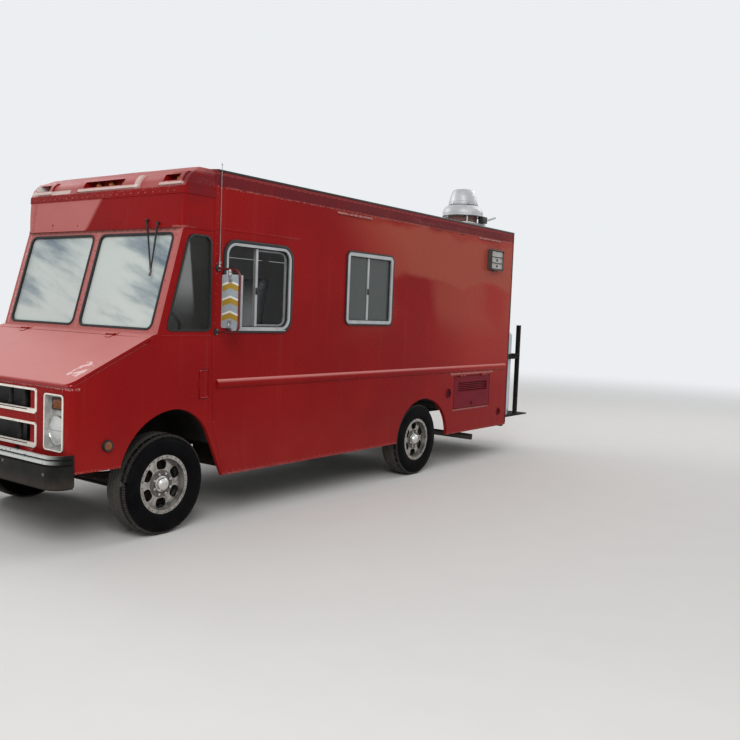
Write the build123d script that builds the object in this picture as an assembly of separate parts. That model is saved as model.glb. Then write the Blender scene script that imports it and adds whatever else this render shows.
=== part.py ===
from build123d import *
import os
from math import atan2, cos, degrees, hypot, radians, sin, tan

# A steel step van fitted out as a food truck. Millimetres, +Z up, ground at z = 0.
# The front faces -Y, the driver's side is +X, and X = 0 is the centre plane.

# Overall sizes
wheelbase = 3378
front_overhang = 840        # front axle to the face of the nose
body_length = 6173          # face of the nose to the back wall
body_width = 1976
side_height = 2730          # ground to the side edge of the roof
roof_crown = 35
bumper_reach = 110          # bumper ahead of the nose
deck_length = 650           # rear deck behind the body

# Sheet, wall and gap sizes
body_wall = 40              # side wall with its posts and lining
cab_wall = 30
liner = 8                   # wheel houses, toe board and step well
moving_gap = 5              # between a moving piece and its neighbours
running_gap = 0.3           # between a pin and its bore
hinge_barrel, hinge_pin = 9, 5      # radii of the door hinges
through = 200               # how far a cutter reaches past what it cuts

# Places that the rest is worked out from
overall_length = bumper_reach + body_length + deck_length
half_width = body_width / 2
nose_y = bumper_reach - overall_length / 2
front_axle_y = nose_y + front_overhang
rear_axle_y = front_axle_y + wheelbase
body_rear_y = nose_y + body_length
roof_top = side_height + roof_crown

# Body heights and seams
skirt_height = 375
fender_height = 555         # bottom edge of the nose ahead of the wheels
seam_back = 408             # upright seam between cab and body, behind the front axle
seam_knee_height = 1500     # below it the seam leans back along the wheel arch
seam_mid_back, seam_mid_height = 440, 810
seam_foot_back = 557
seam_y = front_axle_y + seam_back
seam_foot_y = front_axle_y + seam_foot_back

# Nose, hood and cowl
nose_top = 1152             # where the hood's slope meets the face of the nose
nose_edge_radius = 22
corner_radius = 65          # upright corners of nose and cab
cowl_ahead, cowl_height = 159, 1476
sill_ahead, sill_height = 125, 1484
hood_seam_ahead = 200
hood_thickness = 24
slope = atan2(cowl_height - nose_top, front_overhang - cowl_ahead)

# Windscreen frame, header and roof cap
screen_rake = 0.2805        # run back per unit of height
header_back, header_height, header_lean = 70, 2263, 24
cap_foot_back, cap_foot_height = 100, 2514
cap_break_back, cap_break_height = 106, 2570
cap_knee_back, cap_knee_height = 150, 2660
cap_top_back, cap_top_height = 318, 2746
cap_side_radius = 85
cap_flange_proud = 5
header_lip, header_lip_proud = 13, 6
screen_bottom, screen_top = 1510, 2225
screen_half_width = 910
screen_post = 76
screen_radius = 62
glass_thickness = 6

# Quarter window in the cab side: corners as (behind the front axle, height, radius)
quarter_corners = [(-50, 1508, 60), (390, 1508, 60), (375, 2222, 60), (145, 2222, 60)]

# Windows in the driver's side: (name, behind the seam, length, sill, head, corner radius)
side_windows = [
    ("driver", 111, 757, 1516, 2200, 105),
    ("kitchen", 1642, 710, 1590, 2235, 42),
]
window_frame = 26
window_proud = 12

# Rub rail and floor
rail_bottom, rail_depth, rub_proud = 1060, 75, 20
rub_start_behind_seam, rub_end_ahead_of_rear = 55, 73
floor_height, floor_thickness = 770, 50

# Wheel arches
rear_arch_behind_axle = 75
rear_arch_half_length, rear_arch_rise = 490, 431
arch_clear = 12             # wheel house outside the arch's edge
front_arch = [(-421, 556), (-260, 810), (60, 932), (240, 878), (370, 745), (540, 375)]
shelf_height = front_arch[2][1] + liner + 4      # raised cab floor over the front wheels

# Chassis
frame_width, frame_height, frame_flange, frame_gauge = 864, 180, 60, 8
frame_top = floor_height - floor_thickness
frame_bottom = frame_top - frame_height
frame_x = frame_width / 2 - frame_flange / 2
cross_members = [-680, 760, 1560, 2400, 3000, 4150, 5200]   # behind the front axle
cross_depth, cross_height = 80, 60
horn_top = 680              # the rails are cut down ahead of this much of the nose
horn_length = 60
engine_mount_ahead = 250

# Wheels, axles and steering
tyre_radius, tyre_width, tyre_bore = 375, 216, 201
track_half = 860            # centre plane to wheel centre
rim_gauge, rim_lip = 9, 17
bead_inset = 26             # bead inside the tyre's widest place
disc_offset, disc_gauge = 42, 14
hub_radius, hub_inner, hub_outer = 74, -22, 84
hub_cap_radius = 50
spindle_radius, spindle_end = 24, 62
kingpin_x, kingpin_radius = 730, 16
boss_radius, boss_height = 32, 80
lug_height = 28
axle_drop = 75
pinion_reach = 130          # rear axle's centre to the nose of its gear case
wheel_windows = 6
window_inner, window_outer, window_inner_half, window_outer_half = 106, 182, 38, 54
window_inner_corner, window_outer_corner = 26, 34

# Right side: entry door, serving hatch and shelf, placed behind the seam
entry_behind_seam, entry_width, entry_foot, entry_head = 202, 690, 445, 2290
entry_corner, entry_overlap, door_leaf, door_inset = 8, 25, 30, 8
door_window_margin, door_window_sill, door_window_head, door_window_corner = 130, 1516, 2200, 60
step_depth, step_flange = 250, 30
slide_travel = 700
hatch_behind_seam, hatch_length, hatch_sill, hatch_head = 1742, 1800, 1430, 2235
leaf_thickness = 36
shelf_thickness, shelf_depth = 24, 235
shelf_drop = 22             # shelf's hinge line below the hatch's opening

# Rear wall
rear_door_right, rear_door_width, rear_door_foot, rear_door_head = 800, 740, 782, 2350

# Handles and latches
handle_height, handle_length, handle_radius, handle_proud, handle_inset = 1350, 170, 8, 42, 55
cup_inset, cup_length, cup_height, cup_depth = 45, 60, 130, 14
latch_inset, latch_radius, latch_proud = 260, 14, 22

# Driver's side low doors: (ahead of the back wall, length, bottom, top)
locker_ahead, locker_length, locker_bottom, locker_top = 1278, 830, 645, 1020
locker_depth = 430
louvre_start, louvre_end, louvre_bottom, louvre_top, louvre_slats, louvre_recess = 107, 748, 841, 945, 5, 8
drip_strip_bottom, drip_strip_height, sill_strip_height, strip_proud = 1040, 12, 12, 10
fuel_door_back, fuel_door_length, fuel_door_bottom, fuel_door_top = 282, 103, 988, 1218
fuel_leaf, filler_depth = 6, 60
side_vents = [(1391, 834, 55), (195, 549, 46)]     # (ahead of the back wall, height, radius)

# Grille and lamps in the nose
grille_half_width, grille_end = 636, 104
grille_rows = [(695, 868), (928, 1100)]
grille_recess, grille_frame, grille_proud = 18, 15, 7
bezel_inner, bezel_outer, bezel_bottom, bezel_top = 725, 938, 700, 1080
bezel_rim, bezel_depth, bezel_proud = 12, 52, 6
lamp_x, lamp_height, lamp_radius = 831, 836, 89
turn_bottom, turn_top, turn_inner, turn_outer = 975, 1048, 770, 905
marker_back, marker_height, marker_radius = -534, 722, 38
cap_lamps = [(-815, 85, 1), (0, 255, 3), (815, 85, 1)]       # (x, half width, lenses)
cap_lens_pitch, cap_lens_radius = 165, 24
cap_pocket_bottom, cap_pocket_top, cap_pocket_back = 2612, 2664, 222
cap_fairings = [(-945, -690), (-330, 450), (690, 945)]       # X spans raised round the pockets
fairing_bottom, fairing_top, fairing_proud = 2584, 2684, 14
header_holes = [(-617, 2317, 9), (-617, 2296, 5), (-272, 2304, 7), (282, 2318, 6)]   # (x, height, radius)

# Bumper bands from the bottom up: (bottom, top, set back from the front)
bumper_bands = [(460, 474, 14), (474, 618, 0), (618, 632, 12), (632, 654, 0), (654, 668, 12), (668, 687, 3)]
bumper_depth, bumper_corner, bumper_wrap = 26, 115, 44
bumper_half_width = 1004
plate_hole_height, plate_hole_spacing, plate_hole_radius = 560, 178, 3.5

# Steering wheel and column, springs, mirrors and rear deck
steer_tilt = 38             # steering wheel's face from level
steer_hub = (520, front_axle_y + 215, 1600)
steer_limit = 32
front_spring_seat, rear_spring_seat = 400, 485
mirror_y = seam_y + 34
mirror_top, mirror_bottom, mirror_reach = 1990, 1502, 240
mirror_tube, mirror_bend = 9, 55
mirror_head_gap, mirror_head_width, mirror_head_depth = 48, 186, 26
mirror_head_bottom, mirror_head_top = 1536, 1940
convex_radius, convex_height = 62, 2046
deck_top, deck_gauge = 470, 16

post_ahead, post_size, post_top, post_brace = 345, 44, 1600, 1180

# Flood light on the driver's side, gas cylinder on the deck, tail lamps
flood_front, flood_rear, flood_bottom, flood_top = 643, 283, 2244, 2480    # first two ahead of the rear
flood_depth, flood_rim = 62, 14
gas_x, gas_back, gas_radius, gas_foot_radius = 715, 205, 187, 175
gas_shoulder, gas_neck, collar_radius, collar_wall, collar_height = 1500, 1600, 115, 6, 70
tail_lamp_inset, tail_lamp_height, tail_lamp_radius, tail_lamp_depth = 88, 900, 44, 24

# Roof fan: curb on the roof, throat, skirt and dome
fan_x, fan_ahead, fan_curb, fan_curb_half = 450, 343, 55, 200
throat_radius, skirt_radius, skirt_rim, skirt_top = 160, 245, 2908, 3034
dome_radius, dome_top = 176, 3232


# Helpers for outlines and prisms

def outline(corners):
    # closed face from corners (u, v, radius), each radius an arc tangent to both sides
    edges = []
    count = len(corners)
    starts, ends = [], []
    for i in range(count):
        u, v, radius = corners[i]
        here = Vector(u, v)
        back = (Vector(*corners[i - 1][:2]) - here).normalized()
        ahead = (Vector(*corners[(i + 1) % count][:2]) - here).normalized()
        half = radians(back.get_angle(ahead)) / 2
        run = radius / tan(half)
        starts.append(here + back * run)
        ends.append(here + ahead * run)
        if radius:
            middle = here + (back + ahead).normalized() * (radius / sin(half) - radius)
            edges.append(ThreePointArc(starts[-1], middle, ends[-1]))
    for i in range(count):
        edges.append(Line(ends[i - 1], starts[i]))
    return make_face(edges)


def plain(points, radius=0):
    return outline([(u, v, radius) for u, v in points])


def rectangle(u0, u1, v0, v1, radius=0):
    return plain([(u0, v0), (u1, v0), (u1, v1), (u0, v1)], radius)


def along_x(face, x0, x1):
    return Pos(x0, 0, 0) * extrude(Plane.YZ * face, amount=x1 - x0)


def along_y(face, y0, y1):
    return Pos(0, y1, 0) * extrude(Plane.XZ * face, amount=y1 - y0)


def along_z(face, z0, z1):
    return Pos(0, 0, z0) * extrude(face, amount=z1 - z0)


def block(x0, x1, y0, y1, z0, z1):
    return Pos((x0 + x1) / 2, (y0 + y1) / 2, (z0 + z1) / 2) * Box(abs(x1 - x0), abs(y1 - y0), abs(z1 - z0))


def rod_x(radius, x0, x1, y, z):
    return Pos((x0 + x1) / 2, y, z) * Rot(0, 90, 0) * Cylinder(radius, abs(x1 - x0))


def rod_z(radius, x, y, z0, z1):
    return Pos(x, y, (z0 + z1) / 2) * Cylinder(radius, abs(z1 - z0))


def rod_y(radius, x, y0, y1, z):
    return Pos(x, (y0 + y1) / 2, z) * Rot(90, 0, 0) * Cylinder(radius, y1 - y0)


def pipe(points, bend, radius):
    path = FilletPolyline(*points, radius=bend)
    return sweep(Plane(origin=path @ 0, z_dir=path % 0) * Circle(radius), path=path)


def other_side(shape):
    return mirror(shape, about=Plane.YZ)


def both_sides(shape):
    return [shape, other_side(shape)]


def hinge(place, toward_door, outward, length=100, barrel=hinge_barrel, pin=hinge_pin, tab=40,
          plate=moving_gap):
    # returns the fixed half with its pin, and the half that turns with the door
    door, out = Vector(*toward_door), Vector(*outward)
    frame = Plane(origin=place, x_dir=door, z_dir=door.cross(out))
    lug = length * 0.2
    reach = length / 2
    fixed = Cylinder(pin, length)
    for side in (-1, 1):
        middle = side * (reach - lug / 2)
        fixed += Pos(0, 0, middle) * Cylinder(barrel, lug)
        fixed += Pos(-barrel / 2, plate / 2 - barrel, middle) * Box(barrel, plate, lug)
    flat = tab - barrel - 1
    fixed += Pos(-barrel - 1 - flat / 2, plate / 2 - barrel, 0) * Box(flat, plate, length)
    for side in (-1, 1):
        middle = side * (reach - lug / 2)
        fixed += Pos(-barrel - 0.5, plate / 2 - barrel, middle) * Box(2, plate, lug)
    width = length - 2 * lug - 2 * running_gap
    moving = Cylinder(barrel, width) + Pos(tab / 2, plate / 2 - barrel, 0) * Box(tab, plate, width)
    moving -= Cylinder(pin + running_gap, length)
    return frame * fixed, frame * moving


# Cab envelope: one side profile, one plan and one front view, crossed

def lower_profile():
    low = skirt_height - through
    top_back = header_height - sill_height
    return outline([
        (nose_y, low, 0),
        (nose_y, nose_top, nose_edge_radius),
        (front_axle_y - cowl_ahead, cowl_height, 0),
        (front_axle_y - sill_ahead, sill_height, 0),
        (front_axle_y - sill_ahead + screen_rake * (top_back + through), header_height + through, 0),
        (seam_foot_y + 2 * through, header_height + through, 0),
        (seam_foot_y + 2 * through, low, 0),
    ])


def upper_profile():
    rear = seam_y + 2 * through
    return outline([
        (front_axle_y + header_back - header_lean, header_height - through, 0),
        (front_axle_y + cap_foot_back, cap_foot_height, 0),
        (front_axle_y + cap_break_back, cap_break_height, 0),
        (front_axle_y + cap_knee_back, cap_knee_height, 120),
        (front_axle_y + cap_top_back, cap_top_height, 300),
        (front_axle_y + cap_top_back + 200, roof_top + 6, 0),
        (rear, roof_top + 6, 0),
        (rear, header_height - through, 0),
    ])


def front_view(radius):
    low = skirt_height - through
    arch = ThreePointArc((-half_width, side_height), (0, roof_top), (half_width, side_height))
    face = make_face([
        Line((-half_width, low), (-half_width, side_height)), arch,
        Line((half_width, side_height), (half_width, low)), Line((half_width, low), (-half_width, low)),
    ])
    tops = face.vertices().sort_by(Axis.Y)[-2:]
    return fillet(tops, radius) if radius else face


def plan_view(front):
    rear = seam_foot_y + 2 * through
    return outline([
        (-half_width, front, corner_radius), (half_width, front, corner_radius),
        (half_width, rear, 0), (-half_width, rear, 0),
    ])


def crossed(profile, plan, front, inset):
    faces = [offset(face, -inset, kind=Kind.INTERSECTION) if inset else face
             for face in (profile, plan, front)]
    long = overall_length
    solid = along_x(faces[0], -long, long)
    solid = solid & along_z(faces[1], -long, long)
    return solid & along_y(faces[2], -long, long)


def lower_shell():
    views = (lower_profile(), plan_view(nose_y), front_view(0))
    return crossed(*views, 0), crossed(*views, cab_wall)


def upper_views():
    return upper_profile(), plan_view(front_axle_y + header_back), front_view(cap_side_radius)


def upper_shell():
    return crossed(*upper_views(), 0), crossed(*upper_views(), cab_wall)


def upper_band(outer, proud, bottom, top):
    # a lip that stands proud of the header or the cap between two heights
    lip = crossed(*upper_views(), -proud) - outer
    return lip & along_x(seam_region(nose_y, bottom, top), -half_width - proud, half_width + proud)


def seam_region(front, bottom, top):
    # everything ahead of the seam between cab and body, from one height to another
    low, high = skirt_height - through, roof_top + through
    ahead = plain([
        (front, low), (seam_foot_y, low), (seam_foot_y, skirt_height),
        (front_axle_y + seam_mid_back, seam_mid_height), (seam_y, seam_knee_height), (seam_y, high),
        (front, high),
    ])
    return ahead & rectangle(front, seam_foot_y, bottom, top)


def front_arch_face(grow=0):
    points = [(front_axle_y + back, height) for back, height in front_arch]
    low = skirt_height - through
    lean = (front_arch[-1][0] - front_arch[-2][0]) / (front_arch[-2][1] - front_arch[-1][1])
    foot = (points[5][0] + lean * through, low)
    heel = (points[0][0] - 14, fender_height - through)
    face = make_face([
        Line((heel[0], low), heel), Line(heel, points[0]),
        ThreePointArc(points[0], points[1], points[2]), ThreePointArc(points[2], points[3], points[4]),
        Line(points[4], points[5]), Line(points[5], foot), Line(foot, (heel[0], low)),
    ])
    return offset(face, grow, kind=Kind.INTERSECTION) if grow else face


def rear_arch_face(grow=0):
    centre = rear_axle_y + rear_arch_behind_axle
    half, rise = rear_arch_half_length + grow, rear_arch_rise + grow
    face = Pos(centre, skirt_height) * Ellipse(half, rise)
    return face + rectangle(centre - half, centre + half, skirt_height - through, skirt_height)


def slope_point(ahead_of_axle, depth=0):
    # a point on the hood's slope, or this deep under it, as (y, z)
    run = front_overhang - ahead_of_axle
    y, z = nose_y + run, nose_top + run * tan(slope)
    return (y + depth * sin(slope), z - depth * cos(slope))


def hood_region(gap):
    # the band under the slope that the hood fills, grown by the gap all round
    reach = front_overhang + through
    return plain([
        slope_point(reach, hood_thickness + gap),
        slope_point(hood_seam_ahead - gap, hood_thickness + gap),
        slope_point(hood_seam_ahead - gap, -through),
        slope_point(reach, -through),
    ])


# Cab pieces

def nose_shell(outer, inner):
    shell = outer - inner
    shell &= along_x(seam_region(nose_y - through, fender_height, sill_height), -half_width, half_width)
    low_strip = (outer - inner) & along_x(
        seam_region(front_axle_y, skirt_height, fender_height), -half_width, half_width)
    shell += low_strip
    shell -= along_x(hood_region(moving_gap), -body_width, body_width)
    shell -= along_x(front_arch_face(), -body_width, body_width)
    for bottom, top in grille_rows:
        hole = rectangle(-grille_half_width, grille_half_width, bottom, top, 24)
        shell -= along_y(hole, nose_y - through, nose_y + grille_recess)
        open_half = grille_half_width - grille_end
        slot = rectangle(-open_half, open_half, bottom + grille_frame, top - grille_frame)
        shell -= along_y(slot, nose_y - through, nose_y + through)
    for side in (-1, 1):
        bezel_hole = rectangle(*sorted((side * bezel_inner, side * bezel_outer)), bezel_bottom, bezel_top, 26)
        shell -= along_y(bezel_hole, nose_y - through, nose_y + through)
        rail = frame_width / 2 + moving_gap
        flange = rail - frame_flange - 2 * moving_gap
        shell -= block(*sorted((side * flange, side * rail)), nose_y - through, nose_y + through,
                       frame_bottom - through, horn_top + moving_gap)
    # filler pocket behind the fuel door
    y0 = front_axle_y + fuel_door_back
    inside = half_width - cab_wall
    pocket_wall = 6
    shell += block(inside - filler_depth, inside, y0 - pocket_wall, y0 + fuel_door_length + pocket_wall,
                   fuel_door_bottom - pocket_wall, fuel_door_top + pocket_wall)
    face = rectangle(y0, y0 + fuel_door_length, fuel_door_bottom, fuel_door_top, 14)
    shell -= along_x(face, inside - filler_depth + pocket_wall, half_width + through)
    filler = rod_x(26, inside - filler_depth + pocket_wall, inside, y0 + fuel_door_length / 2,
                   (fuel_door_bottom + fuel_door_top) / 2 - 20)
    shell += filler
    return shell


def screen_plane_y(height):
    return front_axle_y - sill_ahead + screen_rake * (height - sill_height)


screen_frame = Plane(origin=(0, screen_plane_y(screen_bottom), screen_bottom), x_dir=(1, 0, 0),
                     z_dir=(0, -1, screen_rake))


def screen_openings(edge):
    # the two windscreen holes in the plane of the frame, smaller by the edge
    height = (screen_top - screen_bottom) * hypot(1, screen_rake)
    face = rectangle(screen_post / 2 + edge, screen_half_width - edge, edge, height - edge,
                     screen_radius - edge)
    return face, mirror(face, about=Plane.YZ)


def quarter_face(edge):
    face = outline([(front_axle_y + back, height, radius) for back, height, radius in quarter_corners])
    return offset(face, -edge, kind=Kind.INTERSECTION) if edge else face


def cab_front(outer, inner):
    shell = outer - inner
    shell &= along_x(seam_region(nose_y, sill_height, header_height), -half_width, half_width)
    for face in screen_openings(0):
        shell -= extrude(screen_frame * face, amount=through, both=True)
    return shell - along_x(quarter_face(0), -body_width, body_width)


def header_panel(outer, inner):
    shell = outer - inner
    shell &= along_x(seam_region(nose_y, header_height, cap_foot_height), -half_width, half_width)
    shell += upper_band(outer, header_lip_proud, header_height, header_height + header_lip)
    for x, height, radius in header_holes:
        shell -= rod_y(radius, x, nose_y, front_axle_y + through, height)
    return shell


def lamp_pocket(x, half, grow):
    return block(x - half - grow, x + half + grow, front_axle_y, front_axle_y + cap_pocket_back + grow,
                 cap_pocket_bottom - grow, cap_pocket_top + grow)


def roof_cap(outer, inner):
    keep = along_x(seam_region(nose_y, cap_foot_height, roof_top + through), -half_width, half_width)
    shell = outer - inner
    for x, half, lenses in cap_lamps:
        shell += outer & lamp_pocket(x, half, 12)
    shell &= keep
    raised = upper_band(outer, fairing_proud, fairing_bottom, fairing_top)
    for x0, x1 in cap_fairings:
        shell += raised & block(x0, x1, nose_y, front_axle_y + cap_top_back, fairing_bottom, fairing_top)
    shell += upper_band(outer, cap_flange_proud, cap_foot_height, cap_break_height)
    for x, half, lenses in cap_lamps:
        shell -= lamp_pocket(x, half, 0)
    return shell


def hood(outer):
    region = along_x(hood_region(0), -half_width, half_width)
    return outer & region & block(-half_width, half_width, nose_y - 1, front_axle_y, 0, sill_height)


def hood_hinges():
    frames = []
    for x in (-560, 560):
        y, z = slope_point(hood_seam_ahead - moving_gap / 2, -hinge_barrel)
        frames.append(hinge((x, y, z), (0, -cos(slope), -sin(slope)), (0, -sin(slope), cos(slope))))
    return frames


def cab_floor():
    floor_y = front_axle_y + 600
    shelf_y, wall_y = front_axle_y + 570, front_axle_y - 100
    shelf = shelf_height
    cowl = sill_height - 50
    section = plain([
        (floor_y, floor_height), (shelf_y, floor_height), (shelf_y, shelf), (wall_y, shelf), (wall_y, cowl),
        (wall_y - liner, cowl), (wall_y - liner, shelf - liner), (shelf_y - liner, shelf - liner),
        (shelf_y - liner, floor_height - liner), (floor_y, floor_height - liner),
    ])
    inside = half_width - cab_wall
    sheet = along_x(section, -inside, inside)
    well = inside - 448
    for side in (-1, 1):
        span = sorted((side * well, side * inside))
        bore = sorted((side * (well + liner), side * (inside + 1)))
        house = along_x(front_arch_face(liner), *span) - along_x(front_arch_face(0), *bore)
        house &= block(*span, nose_y + cab_wall, front_axle_y + 560, frame_top - 80, shelf)
        sheet += house
    sheet -= block(-310, 310, wall_y - 20, front_axle_y + 420, shelf - through, 1110)
    sheet &= along_x(seam_region(nose_y, skirt_height, sill_height), -inside, inside) + block(
        -inside + body_wall + door_leaf, inside - body_wall, seam_y, floor_y, 0, shelf)
    return sheet


# Body pieces

def opening_yz(behind_seam, length, bottom, top, radius=0, edge=0):
    y0 = seam_y + behind_seam
    return rectangle(y0 + edge, y0 + length - edge, bottom + edge, top - edge, radius)


def side_blank():
    top = side_height - body_wall
    face = plain([
        (seam_foot_y, skirt_height), (body_rear_y, skirt_height), (body_rear_y, top), (seam_y, top),
        (seam_y, seam_knee_height), (front_axle_y + seam_mid_back, seam_mid_height),
    ])
    return face - rear_arch_face()


def left_side_panel():
    face = side_blank()
    for name, behind, length, sill, head, radius in side_windows:
        face -= opening_yz(behind, length, sill, head, radius)
    y0 = body_rear_y - locker_ahead
    face -= rectangle(y0, y0 + locker_length, locker_bottom, locker_top)
    for ahead, height, radius in side_vents:
        face -= Pos(body_rear_y - ahead, height) * Circle(radius)
    return along_x(face, half_width - body_wall, half_width)


def right_side_panel():
    face = side_blank()
    face -= opening_yz(entry_behind_seam, entry_width, entry_foot, entry_head, entry_corner)
    face -= opening_yz(hatch_behind_seam, hatch_length, hatch_sill, hatch_head)
    panel = along_x(face, -half_width, body_wall - half_width)
    rail_y = seam_y + entry_behind_seam - entry_overlap
    inside = body_wall - half_width
    panel += block(inside, inside + 18, rail_y, rail_y + entry_width + 2 * entry_overlap + slide_travel,
                   entry_head + 45, entry_head + 65)
    return panel


def entry_bay():
    # where the wall over and under the side doorway is two panels, the upper with its length of the rail
    y0 = seam_y + entry_behind_seam
    return block(-half_width, -half_width + 2 * body_wall, y0, y0 + entry_width, skirt_height, side_height)


def rear_wall():
    inside = half_width - body_wall
    wall = block(-inside, inside, body_rear_y - body_wall, body_rear_y, 490, side_height - body_wall)
    return wall - block(-rear_door_right, rear_door_width - rear_door_right, body_rear_y - through,
                        body_rear_y + through, rear_door_foot, rear_door_head)


def roof_panel():
    crown = ThreePointArc((-half_width, side_height), (0, roof_top), (half_width, side_height))
    low = side_height - body_wall
    face = make_face([
        crown, Line((half_width, side_height), (half_width, low)),
        Line((half_width, low), (-half_width, low)), Line((-half_width, low), (-half_width, side_height)),
    ])
    return along_y(face, seam_y, body_rear_y)


def floor():
    inside = half_width - body_wall
    front, rear = front_axle_y + 600, body_rear_y - body_wall
    plate = block(-inside, inside, front, rear, frame_top, floor_height)
    house_inner = track_half - tyre_width / 2 - 60
    for side in (-1, 1):
        span = sorted((side * house_inner, side * inside))
        bore = sorted((side * (house_inner + liner), side * (inside + 1)))
        house = along_x(rear_arch_face(arch_clear + liner), *span)
        plate += house & block(*span, front, rear, frame_top, side_height)
        plate -= along_x(rear_arch_face(arch_clear), *bore)
    # slot for the sliding door, room for the step well and the side locker
    pocket = step_pocket()
    plate -= block(-inside, pocket, front, seam_y + entry_behind_seam + entry_width + slide_travel + 100,
                   0, side_height)
    y0, y1 = seam_y + entry_behind_seam, seam_y + entry_behind_seam + entry_width
    plate -= block(pocket, pocket + step_depth, y0, y1, 0, side_height)
    y2 = body_rear_y - locker_ahead
    y3 = y2 + locker_length + liner
    return plate - block(inside - locker_depth, inside, y2 - liner, y3, 0, side_height)


def step_pocket():
    # inner edge of the sliding door's slot
    return -(half_width - body_wall) + door_leaf + 3 * moving_gap


def entry_step():
    inside, pocket = half_width - body_wall, step_pocket()
    y0, y1 = seam_y + entry_behind_seam, seam_y + entry_behind_seam + entry_width
    well, tread = pocket + step_depth, entry_foot - 2 * liner
    step = block(-inside, well, y0 - liner, y1 + liner, tread, tread + liner)
    step += block(well - liner, well, y0, y1, tread, frame_top)
    step += block(well - liner, well + step_flange, y0, y1, frame_top - liner, frame_top)
    for edge in (y0 - liner, y1):
        step += block(pocket, well, edge, edge + liner, tread, frame_top)
    return step


def side_locker():
    inside = half_width - body_wall
    y0 = body_rear_y - locker_ahead
    y1 = y0 + locker_length
    back = inside - locker_depth
    case = block(back, inside, y0 - liner, y1 + liner, locker_bottom - liner, locker_top + liner)
    return case - block(back + liner, inside + 1, y0, y1, locker_bottom, locker_top)


# Doors and hatches

def sliding_door_face():
    return -(half_width - body_wall - door_inset)


def sliding_door_window():
    y0 = seam_y + entry_behind_seam - entry_overlap + door_window_margin
    y1 = y0 + entry_width + 2 * (entry_overlap - door_window_margin)
    return rectangle(y0, y1, door_window_sill, door_window_head, door_window_corner)


def sliding_door():
    outer = sliding_door_face()
    y0 = seam_y + entry_behind_seam - entry_overlap
    y1 = y0 + entry_width + 2 * entry_overlap
    foot, head = entry_foot + 2 * moving_gap, entry_head + 40
    face = rectangle(y0, y1, foot, head, 30) - sliding_door_window()
    leaf = along_x(face, outer, outer + door_leaf)
    low, high = handle_height - cup_height / 2, handle_height + cup_height / 2
    cup = rectangle(y0 + cup_inset, y0 + cup_inset + cup_length, low, high, 20)
    leaf -= along_x(cup, outer, outer + cup_depth)
    rail_top = entry_head + 65
    rail_face = -(half_width - body_wall) + 18 + running_gap
    for y in (y0 + 120, y1 - 120):
        leaf += block(rail_face, rail_face + 8, y - 30, y + 30, head - 20, rail_top + 10)
        leaf += block(outer, rail_face + 8, y - 30, y + 30, rail_top + running_gap, rail_top + 10)
    return leaf


def sliding_door_glass():
    outer = sliding_door_face() + 12
    return along_x(sliding_door_window(), outer, outer + glass_thickness)


def rear_door():
    x0 = -rear_door_right + moving_gap
    x1 = rear_door_width - rear_door_right - moving_gap
    leaf = block(x0, x1, body_rear_y - leaf_thickness, body_rear_y,
                 rear_door_foot + moving_gap, rear_door_head - moving_gap)
    x = x1 - handle_inset
    leaf += rod_z(handle_radius, x, body_rear_y + handle_proud, handle_height - handle_length / 2,
                  handle_height + handle_length / 2)
    for z in (handle_height - handle_length / 2, handle_height + handle_length / 2):
        leaf += rod_y(handle_radius + 2, x, body_rear_y - 1, body_rear_y + handle_proud, z)
    return leaf


def rear_door_hinges():
    return [hinge((-rear_door_right + moving_gap / 2, body_rear_y + hinge_barrel, z), (1, 0, 0), (0, 1, 0))
            for z in (rear_door_foot + 200, (rear_door_foot + rear_door_head) / 2, rear_door_head - 200)]


def serving_hatch():
    face = opening_yz(hatch_behind_seam, hatch_length, hatch_sill, hatch_head, 0, moving_gap)
    leaf = along_x(face, -half_width, -half_width + leaf_thickness)
    y0 = seam_y + hatch_behind_seam
    for y in (y0 + latch_inset, y0 + hatch_length - latch_inset):
        z = hatch_sill + moving_gap + 45
        leaf += rod_x(latch_radius, -half_width, -half_width - latch_proud, y, z)
        leaf += block(-half_width - latch_proud, -half_width - latch_proud + 8, y - 9, y + 9, z - 34, z + 34)
    return leaf


def hatch_hinges():
    y0 = seam_y + hatch_behind_seam
    return [hinge((-half_width - hinge_barrel, y0 + hatch_length * part, hatch_head - moving_gap / 2),
                  (0, 0, -1), (-1, 0, 0))
            for part in (0.12, 0.5, 0.88)]


def shelf_axis():
    return (-half_width - hinge_barrel, hatch_sill - shelf_drop)


def serving_shelf():
    y0 = seam_y + hatch_behind_seam
    x, z = shelf_axis()
    near = -half_width - moving_gap
    return block(near - shelf_thickness, near, y0, y0 + hatch_length, z - 12 - shelf_depth, z - 12)


def shelf_hinges():
    y0 = seam_y + hatch_behind_seam
    x, z = shelf_axis()
    return [hinge((x, y0 + hatch_length * part, z), (0, 0, -1), (-1, 0, 0), tab=19)
            for part in (0.12, 0.5, 0.88)]


def generator_door():
    y0 = body_rear_y - locker_ahead
    gap = moving_gap
    face = rectangle(y0 + gap, y0 + locker_length - gap, locker_bottom + gap, locker_top - gap)
    pitch = (louvre_top - louvre_bottom) / louvre_slats
    leaf = along_x(face, half_width - leaf_thickness, half_width)
    panel = rectangle(y0 + louvre_start, y0 + louvre_end, louvre_bottom, louvre_top)
    leaf -= along_x(panel, half_width - louvre_recess, half_width)
    for slat in range(louvre_slats):
        low = louvre_bottom + pitch * slat
        slot = rectangle(y0 + louvre_start + 8, y0 + louvre_end - 8, low + pitch * 0.3, low + pitch * 0.7)
        leaf -= along_x(slot, half_width - 2 * leaf_thickness, half_width)
    return leaf + rod_x(11, half_width, half_width + 9, y0 + locker_length / 2, locker_bottom + 55)


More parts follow.
